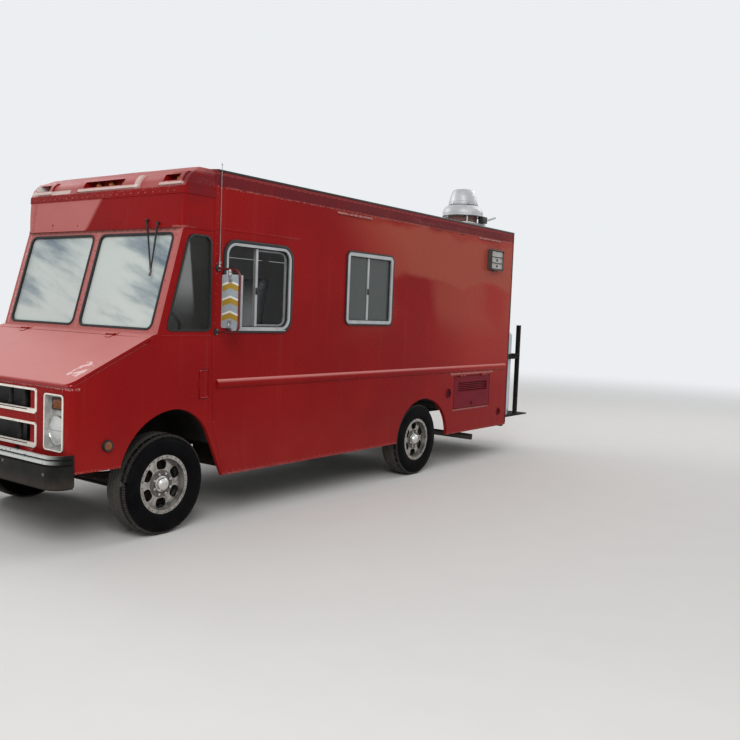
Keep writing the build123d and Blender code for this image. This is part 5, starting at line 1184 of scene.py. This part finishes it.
def makeMirrorParts(m):
    glassPart, dark, silver = bmesh.new(), bmesh.new(), bmesh.new()
    for side in (-1, 1):
        # seen from behind the truck, looking forward: across is -X, out is +Y
        turn = Matrix(((-1, 0, 0), (0, 0, 1), (0, 1, 0))).transposed().to_4x4()
        at = Matrix.Translation((0, m["back"], 0)) @ turn
        u0, u1 = sorted((-side * (m["middle"] - m["half"]), -side * (m["middle"] + m["half"])))
        frameCorners = oblong(u0, m["bottom"], u1, m["top"], -0.001)
        ring(dark, frameCorners, 0.017, m["edge"], -0.004, 0.003, at)
        plate(glassPart, oblong(u0, m["bottom"], u1, m["top"], -m["edge"]), 0.01, -0.003, 0.0012, at, 0.0008)
        for z in (m["bottom"] + 0.045, m["top"] - 0.045):
            x = side * m["middle"]
            block(silver, (x - 0.022, m["back"] - 0.034, z - 0.014),
                  (x + 0.022, m["back"] - 0.024, z + 0.014), 0.003)
            studs(silver, [(x - 0.012, m["back"] - 0.0345, z), (x + 0.012, m["back"] - 0.0345, z)], 0.005,
                  0.004)
        x0, x1 = sorted((side * m["strip"][0], side * m["strip"][1]))
        block(silver, (x0, m["strip"][2], m["bottom"] + 0.004), (x1, m["strip"][3], m["top"] - 0.004), 0.002)
        for z in (2.05, 1.94, 1.56) if side < 0 else (1.965, 1.94, 1.56):    # clamps on the arms
            rod(silver, (side * m["middle"], m["back"] - 0.04, z - 0.012),
                (side * m["middle"], m["back"] - 0.04, z + 0.012), 0.013, 16, edge=0.002)
        for z in (1.99, 1.502):    # feet on the cab's side
            at = turnedTo((side * 0.988, -2.0745, z), (side, 0, 0))
            turned(dark, [(0, 0.0135), (0.01, 0.0135), (0.012, 0.0115), (0.026, 0.009), (0.027, 0), (0, 0)],
                   at, 24)
            studs(silver, [(side * 0.9985, -2.0745, z + 0.018), (side * 0.9985, -2.0745, z - 0.018)],
                  0.0042, 0.0042)
    x, z, radius = m["round"]
    convex = [(0, 0.0125), (radius * 0.35, 0.0115), (radius * 0.68, 0.008), (radius * 0.93, 0.003),
              (radius * 0.93, -0.002), (0, -0.002)]
    at = turnedTo((-x, -2.0605, z), (0, 1, 0))
    turned(glassPart, convex, at, 40)
    turned(dark, [(radius * 0.93, -0.004), (radius * 0.93, 0.003), (radius * 0.98, 0.005),
                  (radius * 1.02, 0.002), (radius * 1.02, -0.004)], at, 40, True)
    backs = bmesh.new()
    for side in (-1, 1):    # the heads' flat backs, with a lip folded round them
        x0, x1 = sorted((side * (m["middle"] - m["half"]), side * (m["middle"] + m["half"])))
        low, high = m["plate"]
        plate(backs, oblong(x0, m["bottom"], x1, m["top"]), 0.014, low, high, frontFace, 0.0008)
        ring(backs, oblong(x0, m["bottom"], x1, m["top"]), 0.014, 0.0022, low - 0.0045, low + 0.0004,
             frontFace, 0.0005)
    piece("mirror_backs", backs, "mirrorBack")
    piece("mirror_glasses", glassPart, "mirrorGlass")
    piece("mirror_edges", dark, "rubber")
    piece("mirror_clamps", silver, "paleSteel")


makeMirrorParts(mirrorParts)

antennaParts = {
    "x": 1.0, "y": -2.0665,
    "foot": [(0, 1.972), (0.01, 1.973), (0.0135, 1.98), (0.014, 1.99), (0.011, 2.0), (0.0075, 2.006),
             (0.0075, 2.018), (0.0095, 2.02), (0.0095, 2.028), (0.006, 2.034), (0.0038, 2.085), (0, 2.085)],
    "tip": [(0, 2.764), (0.0035, 2.764), (0.0045, 2.767), (0.0045, 2.774), (0.003, 2.778), (0, 2.779)],
}


def makeAntennaParts(a):
    shape = bmesh.new()
    at = Matrix.Translation((a["x"], a["y"], 0))
    turned(shape, a["foot"], at, 20)
    turned(shape, a["tip"], at, 12)
    for z in spaced(2.04, 2.078, 0.0048):
        turned(shape, [(0.0036, z - 0.0018), (0.0062, z), (0.0036, z + 0.0018)], at, 14, True)
    rod(shape, (0.986, a["y"], 1.982), (0.998, a["y"], 1.982), 0.009, 16, edge=0.002)
    piece("antenna_foot", shape, "antennaSteel")


makeAntennaParts(antennaParts)

wiperParts = {"pivots": [(0.612, 2.32), (0.744, 2.296)], "clip": (0.794, 1.929), "lean": 0.041}


def makeWiperParts(w):
    shape, clip = bmesh.new(), bmesh.new()
    for x, z in w["pivots"][:1]:
        y = -2.6415 + 0.2805 * (z - 1.484) - w["lean"]
        at = turnedTo((x, y - 0.01, z), (0, -1, 0))
        turned(shape, [(0, 0.003), (0.006, 0.0026), (0.011, 0.001), (0.0125, -0.003), (0.0125, -0.014),
                       (0, -0.014)], at, 20)
        studs(shape, [(x, y - 0.0145, z)], 0.0055, 0.004)
    x, z = w["clip"]
    up = (z - 1.51) * 1.0386
    out = 0.037
    block(clip, (x - 0.009, up - 0.04, out - 0.006), (x + 0.009, up + 0.006, out + 0.006), 0.003,
          view=screenFace)
    studs(shape, [(x, up - 0.004, out + 0.006), (x, up - 0.028, out + 0.006)], 0.0045, 0.003, screenFace)
    # two thin rods of the arm's linkage, from each pivot to the clip
    for px, pz in w["pivots"]:
        rod(shape, (px, (pz - 1.51) * 1.0386 - 0.03, out + 0.01), (x, up + 0.03, out + 0.01), 0.0022, 8,
            view=screenFace)
    piece("wiper_caps", shape, "blackSteel")
    piece("wiper_clip", clip, "dullBolt")


makeWiperParts(wiperParts)
print("mirrors, antenna and wiper done")

# Flood light and fan

floodParts = {
    "y": (2.1875, 2.4545), "z": (2.258, 2.466), "floor": 0.046, "rows": 3, "gap": 0.01, "rim": 0.014,
    "core": (0.02, 0.014), "front": 0.058,
}


def makeFloodParts(p):
    cells, dark = bmesh.new(), bmesh.new()
    y0, y1 = p["y"]
    z0, z1 = p["z"]
    pitch = (z1 - z0) / p["rows"]
    shell = bmesh.new()
    around = oblong(y0, z0, y1, z1, p["rim"])
    plate(shell, around, 0.012, 0.0, p["floor"] - 0.002, leftFace, 0.003)
    ring(shell, around, 0.012, p["rim"] - 0.002, p["floor"] - 0.003, p["front"], leftFace, 0.003)
    piece("flood_light_housing", shell, "lampHousing", hides=["flood_light"])
    for row in range(p["rows"]):
        low, high = z0 + pitch * row + p["gap"] / 2, z0 + pitch * (row + 1) - p["gap"] / 2
        corners = oblong(y0 + 0.006, low, y1 - 0.006, high)
        plate(cells, corners, 0.006, p["floor"] - 0.001, p["floor"] + 0.0012, leftFace, 0.0005, 3)
        ring(cells, corners, 0.006, 0.006, p["floor"], p["floor"] + 0.0065, leftFace, 0.0025, 3)
        if row < 2:
            middle, centre = (y0 + y1) / 2, (low + high) / 2
            plate(dark, centred(middle, centre, *p["core"]), 0.004, p["floor"], p["floor"] + 0.003, leftFace)
        if row:
            block(dark, (y0, low - p["gap"] / 2 - 0.0035, p["floor"] - 0.002),
                  (y1, low - p["gap"] / 2 + 0.0035, p["floor"] + 0.009), 0.0015, view=leftFace)
    studs(dark, [(y, z, p["front"] - 0.0005) for y in (y0 - 0.005, y1 + 0.005)
                 for z in (z0 - 0.005, z1 + 0.005)], 0.005, 0.003, leftFace)
    # cooling ribs on the housing's top and a stirrup under it
    for y in spaced(y0 + 0.02, y1 - 0.02, 0.028):
        block(dark, (y - 0.003, z1 + 0.012, 0.008), (y + 0.003, z1 + 0.019, 0.054), 0.001, view=leftFace)
    block(dark, (y0 + 0.1, z0 - 0.024, -0.001), (y1 - 0.1, z0 - 0.012, 0.04), 0.003, view=leftFace)
    piece("flood_light_cells", cells, "paleCell")
    piece("flood_light_fittings", dark, "lampHousing")


makeFloodParts(floodParts)

fanParts = {
    "centre": (0.45, 2.4735), "half": 0.2,
    "gap": [(0.15, 3.031), (0.174, 3.031), (0.1765, 3.034), (0.1765, 3.044), (0.174, 3.047), (0.15, 3.047)],
    "beads": [(0.1762, 3.06), (0.1735, 3.08)], "screwRing": 0.177, "screwHeight": 3.0495,
    "sleeve": [(0.174, 2.822), (0.177, 2.822), (0.177, 2.903), (0.174, 2.903)],
}


def makeFanParts(p):
    x, y = p["centre"]
    at = Matrix.Translation((x, y, 0))
    dark, pale = bmesh.new(), bmesh.new()
    turned(dark, p["gap"], at, 64, True)
    for radius, height in p["beads"]:
        turned(pale, [(radius - 0.003, height - 0.004), (radius + 0.0022, height),
                      (radius - 0.003, height + 0.004)], at, 64, True)
    for u, v in circled(p["screwRing"], 6, radians(20)):
        studs(dark, [(x + u, y + v, p["screwHeight"])], 0.0055, 0.0055)
    turned(pale, [(0.244, 2.905), (0.2475, 2.908), (0.2475, 2.915), (0.244, 2.918), (0.236, 2.916),
                  (0.236, 2.907)], at, 72, True)
    # base flange, its bolts, the sleeve round the throat and the switch box with its conduit
    ring(pale, centred(x, y, p["half"], p["half"], 0.012), 0.012, 0.03, 2.812, 2.826)
    studs(dark, [(x + sx * 0.19, y + sy * 0.19, 2.827) for sx in (-1, 0, 1) for sy in (-1, 0, 1)
                 if sx or sy], 0.008, 0.006)
    throat = bmesh.new()
    turned(throat, p["sleeve"], at, 56, True)
    for height in (2.842, 2.872):
        turned(throat, [(0.1775, height - 0.003), (0.18, height), (0.1775, height + 0.003)], at, 48, True)
    piece("fan_throat", throat, "fanThroat")
    # a black ring just under the skirt's rim, standing in for the shadow there
    turned(dark, [(0.236, 2.9015), (0.2465, 2.9015), (0.2485, 2.9045), (0.2465, 2.9075), (0.236, 2.9075)],
           at, 72, True)
    block(dark, (x + 0.205, y + 0.02, 2.825), (x + 0.275, y + 0.13, 2.905), 0.006)
    studs(dark, [(x + 0.276, y + 0.035, 2.84), (x + 0.276, y + 0.115, 2.89)], 0.005, 0.004)
    rod(pale, (x + 0.24, y + 0.075, 2.87), (x + 0.15, y + 0.02, 2.99), 0.011, 14)
    rod(pale, (x + 0.262, y + 0.12, 2.86), (x + 0.345, y + 0.205, 2.905), 0.012, 14, edge=0.003)
    rod(pale, (x + 0.24, y + 0.1, 2.755), (x + 0.24, y + 0.1, 2.83), 0.011, 14)
    piece("fan_bands", dark, "blackSteel")
    piece("fan_fittings", pale, "fanMetal")


makeFanParts(fanParts)
print("flood light and fan done")

# Low door, vents and fuel door on the driver's side

lowDoor = {
    "dripBolts": [(1.474, 1.046), (2.416, 1.046)],
    "sillBolts": [(1.574, 0.639), (1.843, 0.639), (2.321, 0.639)],
    "latch": (1.9535, 0.7), "panel": (1.6455, 0.841, 2.2865, 0.945), "edge": (1.5435, 0.65, 2.3635, 1.015),
    "vents": [(1.4255, 0.834, 0.055), (2.6215, 0.549, 0.046)], "fuel": (-2.2295, 0.993, -2.1365, 1.213),
}


def makeLowDoor(d):
    bolts, trim, dark = bmesh.new(), bmesh.new(), bmesh.new()
    studs(bolts, [(y, z, 0.0098) for y, z in d["dripBolts"]], 0.0075, 0.0045, leftFace)
    studs(bolts, [(y, z, 0.0078) for y, z in d["sillBolts"]], 0.0065, 0.0045, leftFace)
    piece("low_door_bolts", bolts, "pinkPaint")
    ring(trim, oblong(*d["panel"], 0.006), 0.01, 0.006, -0.001, 0.0022, leftFace)
    ring(trim, oblong(*d["edge"], -0.002), 0.006, 0.007, -0.001, 0.0015, leftFace)
    u, v = d["latch"]
    at = spot(leftFace, u, v)
    turned(trim, [(0.0125, 0.001), (0.0125, 0.007), (0.016, 0.0085), (0.024, 0.006), (0.026, 0.001)], at,
           28, True)
    block(trim, (-0.005, -0.016, 0.008), (0.005, 0.016, 0.0135), 0.0022, view=at)
    studs(trim, [(1.881, 0.834, 0.0005)], 0.006, 0.0035, leftFace)
    piece("low_door_trim", trim, "maroonPaint", "generator_door")
    caps = bmesh.new()
    for u, v, radius in d["vents"]:
        at = spot(leftFace, u, v)
        turned(caps, [(radius * 0.86, -0.01), (radius * 0.86, 0.0015), (radius * 0.96, 0.0055),
                      (radius * 1.1, 0.004), (radius * 1.14, -0.001), (radius * 0.99, -0.001),
                      (radius * 0.99, -0.01)], at, 40, True)
        turned(dark, [(0, -0.016), (radius * 0.97, -0.016), (radius * 0.97, -0.022), (0, -0.022)], at, 32)
        for v2 in spaced(-radius * 0.66, radius * 0.66, 0.017):
            half = (radius * radius * 0.74 - v2 * v2) ** 0.5
            block(caps, (-half, v2 - 0.0035, -0.014), (half, v2 + 0.0035, -0.006), 0.0015, 1, at)
    piece("side_vent_caps", caps, "maroonPaint")
    piece("side_vent_backs", dark, "darkInside")
    lip = bmesh.new()
    ring(lip, oblong(*d["fuel"], -0.001), 0.016, 0.009, -0.001, 0.0052, leftFace, 0.0028)
    low, end, high = d["fuel"][1:]
    middle = (low + high) / 2
    block(lip, (end - 0.026, middle - 0.02, -0.001), (end - 0.016, middle + 0.02, 0.0045), 0.002,
          view=leftFace)
    piece("fuel_door_lip", lip, "noseRed", "fuel_door")


makeLowDoor(lowDoor)

# Rolled side edges of the hood

hoodRolls = {"x": 0.973, "front": (-3.335, 1.1345), "back": (-2.665, 1.468), "radius": 0.0095}


def makeHoodRolls(h):
    shape = bmesh.new()
    (y0, z0), (y1, z1) = h["front"], h["back"]
    rod(shape, (h["x"], y0, z0), (h["x"], y1, z1), h["radius"], 20, edge=0.004)
    bothSides(shape)
    piece("hood_rolls", shape, "hoodRed", "hood")


makeHoodRolls(hoodRolls)
print("low door, vents and hood edges done")

# Rear: lamps, door and roof

rearParts = {
    "lamps": (0.9, 0.9), "door": (0.065, 0.787, 0.795, 2.345),
    "beads": [(0.15, 0.92, 0.71, 1.42), (0.15, 1.56, 0.71, 2.24)],
    "reflectors": [(0.9, 0.735), (0.9, 1.06)], "handle": (0.12, 1.35),
    "rim": [(0.0435, 0.0), (0.0435, 0.02), (0.0455, 0.0245), (0.049, 0.0225), (0.0525, 0.006), (0.053, 0.0)],
    "lens": [(0, 0.029), (0.014, 0.0286), (0.028, 0.0272), (0.039, 0.025), (0.043, 0.0225), (0.043, 0.018),
             (0, 0.018)],
}


def makeRearParts(r):
    rims, lens = bmesh.new(), bmesh.new()
    u, v = r["lamps"]
    at = spot(rearFace, u, v)
    turned(rims, r["rim"], at, 40, True)
    turned(lens, r["lens"], at, 40)
    for radius in (0.012, 0.021, 0.03, 0.038):
        top = 0.0296 - radius * radius * 2.9
        ridge(lens, radius, top, 0.0018, 0.003, at)
    for u, v in r["reflectors"]:
        plate(lens, centred(u, v, 0.03, 0.019), 0.008, -0.001, 0.0055, rearFace, 0.002)
        ring(rims, centred(u, v, 0.03, 0.019, 0.003), 0.01, 0.004, -0.001, 0.0065, rearFace)
    for shape in (rims, lens):
        bothSides(shape)
    piece("tail_lamp_rims", rims, "chrome")
    piece("tail_lamp_lenses", lens, "redLens")
    seal, bead = bmesh.new(), bmesh.new()
    ring(seal, oblong(*r["door"]), 0.004, 0.01, -0.002, 0.0028, rearFace)
    for place in r["beads"]:
        ring(bead, oblong(*place), 0.045, 0.016, -0.001, 0.0045, rearFace, 0.0035)
    u, v = r["handle"]
    plate(bead, centred(u, v, 0.024, 0.125), 0.012, -0.001, 0.003, rearFace)
    turned(bead, [(0, 0.01), (0.01, 0.01), (0.014, 0.008), (0.016, 0.0), (0, 0.0)],
           rearFace @ Matrix.Translation((u, v - 0.165, 0)), 24)
    piece("rear_door_seal", seal, "rubber", "rear_door")
    piece("rear_door_beads", bead, "bodyRed", "rear_door")


makeRearParts(rearParts)

roofParts = {"top": 2.765, "bend": 13.96, "seams": [-1.95, -0.75, 0.45, 1.65], "half": 0.965, "width": 0.04,
             "bolts": 0.12}


def makeRoofParts(r):
    shape = bmesh.new()
    for y in r["seams"]:
        part = bmesh.new()
        bmesh.ops.create_cube(part, size=1, matrix=Matrix.Diagonal((2 * r["half"], r["width"], 0.007, 1)))
        across = [side for side in part.edges if abs(side.verts[0].co.x - side.verts[1].co.x) > 0.1]
        bmesh.ops.subdivide_edges(part, edges=across, cuts=24)
        rounded(part, [side for side in part.edges if side.calc_face_angle(0) > 1 and side.verts[0].co.z > 0
                       and side.verts[1].co.z > 0], 0.0025)
        for corner in part.verts:
            corner.co.z -= corner.co.x ** 2 / (2 * r["bend"])
        joined(shape, part, Matrix.Translation((0, y, r["top"] + 0.0005)))
    for y in r["seams"]:
        heads = [(x, y, r["top"] + 0.0035 - x * x / (2 * r["bend"])) for x in spaced(-0.9, 0.9, r["bolts"])]
        studs(shape, heads, 0.008, 0.004)
    piece("roof_seams", shape, "caulk")


makeRoofParts(roofParts)

# Serving side

servingParts = {
    "hatch": (-1.4285, 1.435, 0.3615, 2.23), "screws": 0.15,
    "ribs": [-1.25, -0.533, 0.183],
}


def makeServingParts(s):
    trim, screws, beads = bmesh.new(), bmesh.new(), bmesh.new()
    u0, v0, u1, v1 = s["hatch"]
    ring(trim, oblong(u0, v0, u1, v1, -0.003), 0.01, 0.022, -0.001, 0.0028, rightFace)
    for u in spaced(u0 + 0.04, u1 - 0.04, s["screws"]):
        studs(screws, [(u, v0 + 0.014, 0.0026), (u, v1 - 0.014, 0.0026)], 0.005, 0.003, rightFace)
    for v in spaced(v0 + 0.09, v1 - 0.09, s["screws"]):
        studs(screws, [(u0 + 0.014, v, 0.0026), (u1 - 0.014, v, 0.0026)], 0.005, 0.003, rightFace)
    piece("hatch_trim", trim, "paleSteel", "serving_hatch")
    piece("hatch_screws", screws, "dullBolt", "serving_hatch")
    low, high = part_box("serving_shelf")
    u0, u1 = -high[1], -low[1]
    face = -0.988 - low[0]
    for v in (low[2] + 0.01, high[2] - 0.012):
        rod(beads, (u0 + 0.008, v, face), (u1 - 0.008, v, face), 0.006, 12, edge=0.002, view=rightFace)
    for u in s["ribs"]:
        block(beads, (u - 0.018, low[2] + 0.016, face - 0.001), (u + 0.018, high[2] - 0.018, face + 0.0035),
              0.0025, view=rightFace)
        studs(beads, [(u, v, face + 0.0035) for v in (low[2] + 0.035, high[2] - 0.035)], 0.006, 0.0035,
              rightFace)
    piece("shelf_beads", beads, "paleSteel", "serving_shelf")


makeServingParts(servingParts)

doorParts = {"kick": (-1.85, 0.52, -1.27, 0.8), "face": -0.032}


def makeDoorParts(d):
    low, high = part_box("sliding_door")
    seal, kick = bmesh.new(), bmesh.new()
    face = d["face"]
    for y in (low[1] + 0.006, high[1] - 0.006):
        block(seal, (-y - 0.005, low[2] + 0.01, face - 0.001), (-y + 0.005, 2.28, face + 0.003), 0.0015,
              view=rightFace)
    piece("sliding_door_seals", seal, "rubber", "sliding_door")
    y0, z0, y1, z1 = d["kick"]
    plate(kick, oblong(-y1, z0, -y0, z1), 0.02, face - 0.001, face + 0.002, rightFace)
    studs(kick, [(-y, z, face + 0.0018) for y in spaced(y0 + 0.03, y1 - 0.03, 0.13)
                 for z in (z0 + 0.02, z1 - 0.02)], 0.005, 0.003, rightFace)
    piece("sliding_door_kick", kick, "paleSteel", "sliding_door")


makeDoorParts(doorParts)
print("rear, roof and serving side done")

# Gas cylinder and its post

gasParts = {
    "centre": (0.715, 3.0215), "radius": 0.187, "strap": 1.225, "collar": 0.115, "collarTop": 1.67,
    "wheel": [(0, 1.672), (0.01, 1.672), (0.026, 1.668), (0.031, 1.662), (0.031, 1.654), (0.026, 1.652),
              (0.01, 1.654), (0, 1.654)],
}


def makeGasParts(g):
    x, y = g["centre"]
    at = Matrix.Translation((x, y, 0))
    radius = g["radius"]
    white, brass, dark = bmesh.new(), bmesh.new(), bmesh.new()
    top, collar = g["collarTop"], g["collar"]
    turned(white, [(collar - 0.007, top - 0.006), (collar - 0.005, top), (collar - 0.002, top + 0.0015),
                   (collar + 0.001, top), (collar + 0.002, top - 0.006)], at, 56, True)
    for height in (0.552, 1.0, 1.48):    # welds round the shell
        turned(white, [(radius - 0.004, height - 0.006), (radius + 0.0014, height - 0.002),
                       (radius + 0.0014, height + 0.002), (radius - 0.004, height + 0.006)], at, 72, True)
    piece("gas_cylinder_rims", white, "whitePaint")
    turned(brass, g["wheel"], at, 28)
    rod(brass, (x, y, 1.6), (x, y, 1.64), 0.022, 6)
    rod(brass, (x - 0.01, y - 0.01, 1.628), (x - 0.056, y - 0.04, 1.628), 0.013, 16, edge=0.003)
    rod(brass, (x + 0.01, y + 0.01, 1.622), (x + 0.04, y + 0.03, 1.622), 0.009, 6)
    for u, v in circled(0.03, 8):
        studs(brass, [(x + u, y + v, 1.658)], 0.005, 0.007)
    piece("gas_cylinder_valve", brass, "brass")
    height = g["strap"]
    turned(dark, [(radius + 0.0006, height - 0.016), (radius + 0.0038, height - 0.016),
                  (radius + 0.0038, height + 0.016), (radius + 0.0006, height + 0.016)], at, 72, True)
    block(dark, (0.868, 3.128, height - 0.02), (0.93, 3.166, height + 0.02), 0.004)
    for z in (height - 0.01, height + 0.01):
        studs(dark, [(0.951, 3.184, z)], 0.004, 0.008)
    block(dark, (0.902, 3.155, height - 0.022), (0.9515, 3.2115, height + 0.022), 0.004)
    for z in (0.475, 1.182, 1.208):
        studs(dark, [(0.93, 3.158, z + 0.006)], 0.007, 0.007)
    plate(dark, oblong(0.886, 3.14, 0.957, 3.225), 0.006, 0.47, 0.476)
    plate(dark, oblong(0.906, 3.1595, 0.954, 3.2075), 0.004, 1.6005, 1.604)
    piece("gas_cylinder_strap", dark, "castSteel")


makeGasParts(gasParts)
print("gas cylinder done")

# Driver's seat: two padded parts on a steel stand

seat = {
    "voxel": 0.006, "pressure": 4.0, "frames": 20, "stray": 0.024, "welt": (0.0035, 0.003),
    "seam": (0.004, 0.0045),
    "cushion": {"size": (0.444, 0.454, 0.09), "at": (0.52, -1.5965, 1.209), "lean": 0, "corner": 0.034,
                "across": [-0.07, 0.07]},
    "back": {"size": (0.434, 0.084, 0.72), "at": (0.52, -1.3022, 1.6144), "lean": -10, "corner": 0.038,
             "across": [-0.1, 0.06, 0.22]},
}


def padStart(part):
    shape = bmesh.new()
    bmesh.ops.create_cube(shape, size=1, matrix=Matrix.Diagonal((*part["size"], 1)))
    rounded(shape, shape.edges[:], part["corner"], 5)
    mesh = bpy.data.meshes.new("pad")
    shape.to_mesh(mesh)
    shape.free()
    made = bpy.data.objects.new("pad", mesh)
    bpy.context.collection.objects.link(made)
    return made


def applied(made):
    # the mesh as its modifiers leave it
    fresh = bpy.data.meshes.new_from_object(made.evaluated_get(bpy.context.evaluated_depsgraph_get()))
    made.modifiers.clear()
    old, made.data = made.data, fresh
    bpy.data.meshes.remove(old)


def swollen(made, s):
    cloth = made.modifiers.new("cloth", "CLOTH")
    cloth.settings.use_pressure = True
    cloth.settings.uniform_pressure_force = s["pressure"]
    cloth.settings.effector_weights.gravity = 0
    cloth.settings.quality = 4
    cloth.point_cache.frame_end = s["frames"]
    rest = [corner.co.copy() for corner in made.data.vertices]
    scene = bpy.context.scene
    for step in range(1, s["frames"] + 1):
        scene.frame_set(step)
    applied(made)
    scene.frame_set(1)
    for corner, start in zip(made.data.vertices, rest):
        moved = corner.co - start
        if moved.length > s["stray"]:
            corner.co = start + moved * (s["stray"] / moved.length)


def sewn(made, part, s):
    # welts round both faces, and channels sewn across
    thin = min(range(3), key=lambda axis: part["size"][axis])
    long = 2 if thin == 1 else 1
    half = [size / 2 for size in part["size"]]
    deep, wide = s["seam"]
    proud, band = s["welt"]
    for corner in made.data.vertices:
        at = corner.co
        out = abs(at[thin]) / half[thin]
        edge = max(abs(at[0]) / half[0], abs(at[long]) / half[long])
        push = 0
        if out > 0.55:    # on a face: the channels
            for line in part["across"]:
                push -= deep * exp(-((at[long] - line) / wide) ** 2)
        lift = abs(abs(at[thin]) - half[thin] * 0.72)
        if edge > 0.93:
            push += proud * exp(-(lift / band) ** 2)
        corner.co = at + corner.normal * push if push else at
    return made


def makePad(name, part, s):
    made = padStart(part)
    remesh = made.modifiers.new("remesh", "REMESH")
    remesh.mode = "VOXEL"
    remesh.voxel_size = s["voxel"]
    applied(made)
    swollen(made, s)
    sewn(made, part, s)
    made.data.transform(Matrix.Translation(part["at"]) @ Matrix.Rotation(radians(part["lean"]), 4, "X"))
    smooth = made.modifiers.new("smooth", "SUBSURF")
    smooth.levels = smooth.render_levels = 1
    applied(made)
    made.name = name
    made.data.materials.clear()
    made.data.materials.append(finishes["seatVinyl"])
    made.data.shade_smooth()
    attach(made, "truck_body")
    return made


def makeSeatStand():
    shape = bmesh.new()
    block(shape, (0.345, -1.752, 0.772), (0.695, -1.441, 0.786), 0.003)
    for x in (0.378, 0.662):    # slides and their feet
        block(shape, (x - 0.018, -1.775, 0.786), (x + 0.018, -1.418, 0.808), 0.004)
        block(shape, (x - 0.012, -1.765, 1.108), (x + 0.012, -1.428, 1.134), 0.004)
        for y in (-1.72, -1.47):
            rod(shape, (x, y, 0.808), (x, -3.19 - y, 1.11), 0.013, 14, edge=0.003)
        rod(shape, (x - 0.02, -1.595, 0.959), (x + 0.02, -1.595, 0.959), 0.018, 18, edge=0.003)
    rod(shape, (0.39, -1.595, 0.959), (0.65, -1.595, 0.959), 0.01, 14)
    rod(shape, (0.45, -1.72, 0.8), (0.45, -1.8, 0.825), 0.006, 12, edge=0.002)
    for number in range(9):    # bellows round the spring
        z = 0.8 + number * 0.033
        turned(shape, [(0.085, z), (0.1, z + 0.0165), (0.085, z + 0.033), (0.081, z + 0.033),
                       (0.096, z + 0.0165), (0.081, z)], Matrix.Translation((0.52, -1.595, 0)), 36, True)
    block(shape, (0.32, -1.8, 1.132), (0.72, -1.395, 1.15), 0.005)
    for x in (0.288, 0.752):    # hinge plates of the back
        block(shape, (x - 0.004, -1.47, 1.15), (x + 0.004, -1.335, 1.29), 0.0015)
        rod(shape, (x - 0.009, -1.4, 1.225), (x + 0.009, -1.4, 1.225), 0.016, 18, edge=0.003)
    return shape


pads = [makePad("seat_cushion", seat["cushion"], seat), makePad("seat_back", seat["back"], seat)]
piece("seat_stand", makeSeatStand(), "castSteel", hides=["driver_seat"])
for pad in pads:
    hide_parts("driver_seat")
print("driver's seat done")

# Nose shell again from its node, open under the hood but for a flange that the hood lands on

noseOpening = {
    "lip": (-3.3565, 1.152), "slope": radians(25.4437), "layer": (0.0285, 0.0305),
    "halfWidth": 0.925, "y": (-3.29, -2.76),
}


def makeNosePanels(n):
    shape = bmesh.new()
    shape.from_mesh(nodes["nose_shell"].data)
    bmesh.ops.remove_doubles(shape, verts=shape.verts[:], dist=1e-5)

    def sheet():    # the faces just under the hood, both sides of the sheet
        low, high = n["layer"]
        under = {v for v in shape.verts if low < (v.co.y - n["lip"][0]) * sin(n["slope"])
                 - (v.co.z - n["lip"][1]) * cos(n["slope"]) < high}
        return [face for face in shape.faces if all(v in under for v in face.verts)]

    for at, way in (((n["halfWidth"], 0, 0), (1, 0, 0)), ((-n["halfWidth"], 0, 0), (1, 0, 0)),
                    ((0, n["y"][0], 0), (0, 1, 0)), ((0, n["y"][1], 0), (0, 1, 0))):
        faces = sheet()
        edges = {edge for face in faces for edge in face.edges}
        verts = {vert for face in faces for vert in face.verts}
        bmesh.ops.bisect_plane(shape, geom=[*verts, *edges, *faces], plane_co=at, plane_no=way)
    opened = [face for face in sheet() if abs(face.calc_center_median().x) < n["halfWidth"]
              and n["y"][0] < face.calc_center_median().y < n["y"][1]]
    bmesh.ops.delete(shape, geom=opened, context="FACES")
    rim = [edge for edge in shape.edges if edge.is_boundary]
    bmesh.ops.bridge_loops(shape, edges=rim)
    made = piece("nose_panels", shape, "noseRed", hides=["nose_shell"], smooth=30)
    for face in made.data.polygons:    # the flat sides stay flat beside their round edges
        face.use_smooth = abs(face.normal.x) < 0.9995
    even = made.modifiers.new("evenNormals", "WEIGHTED_NORMAL")
    even.weight = 100
    even.keep_sharp = True


makeNosePanels(noseOpening)
print("nose panels done")
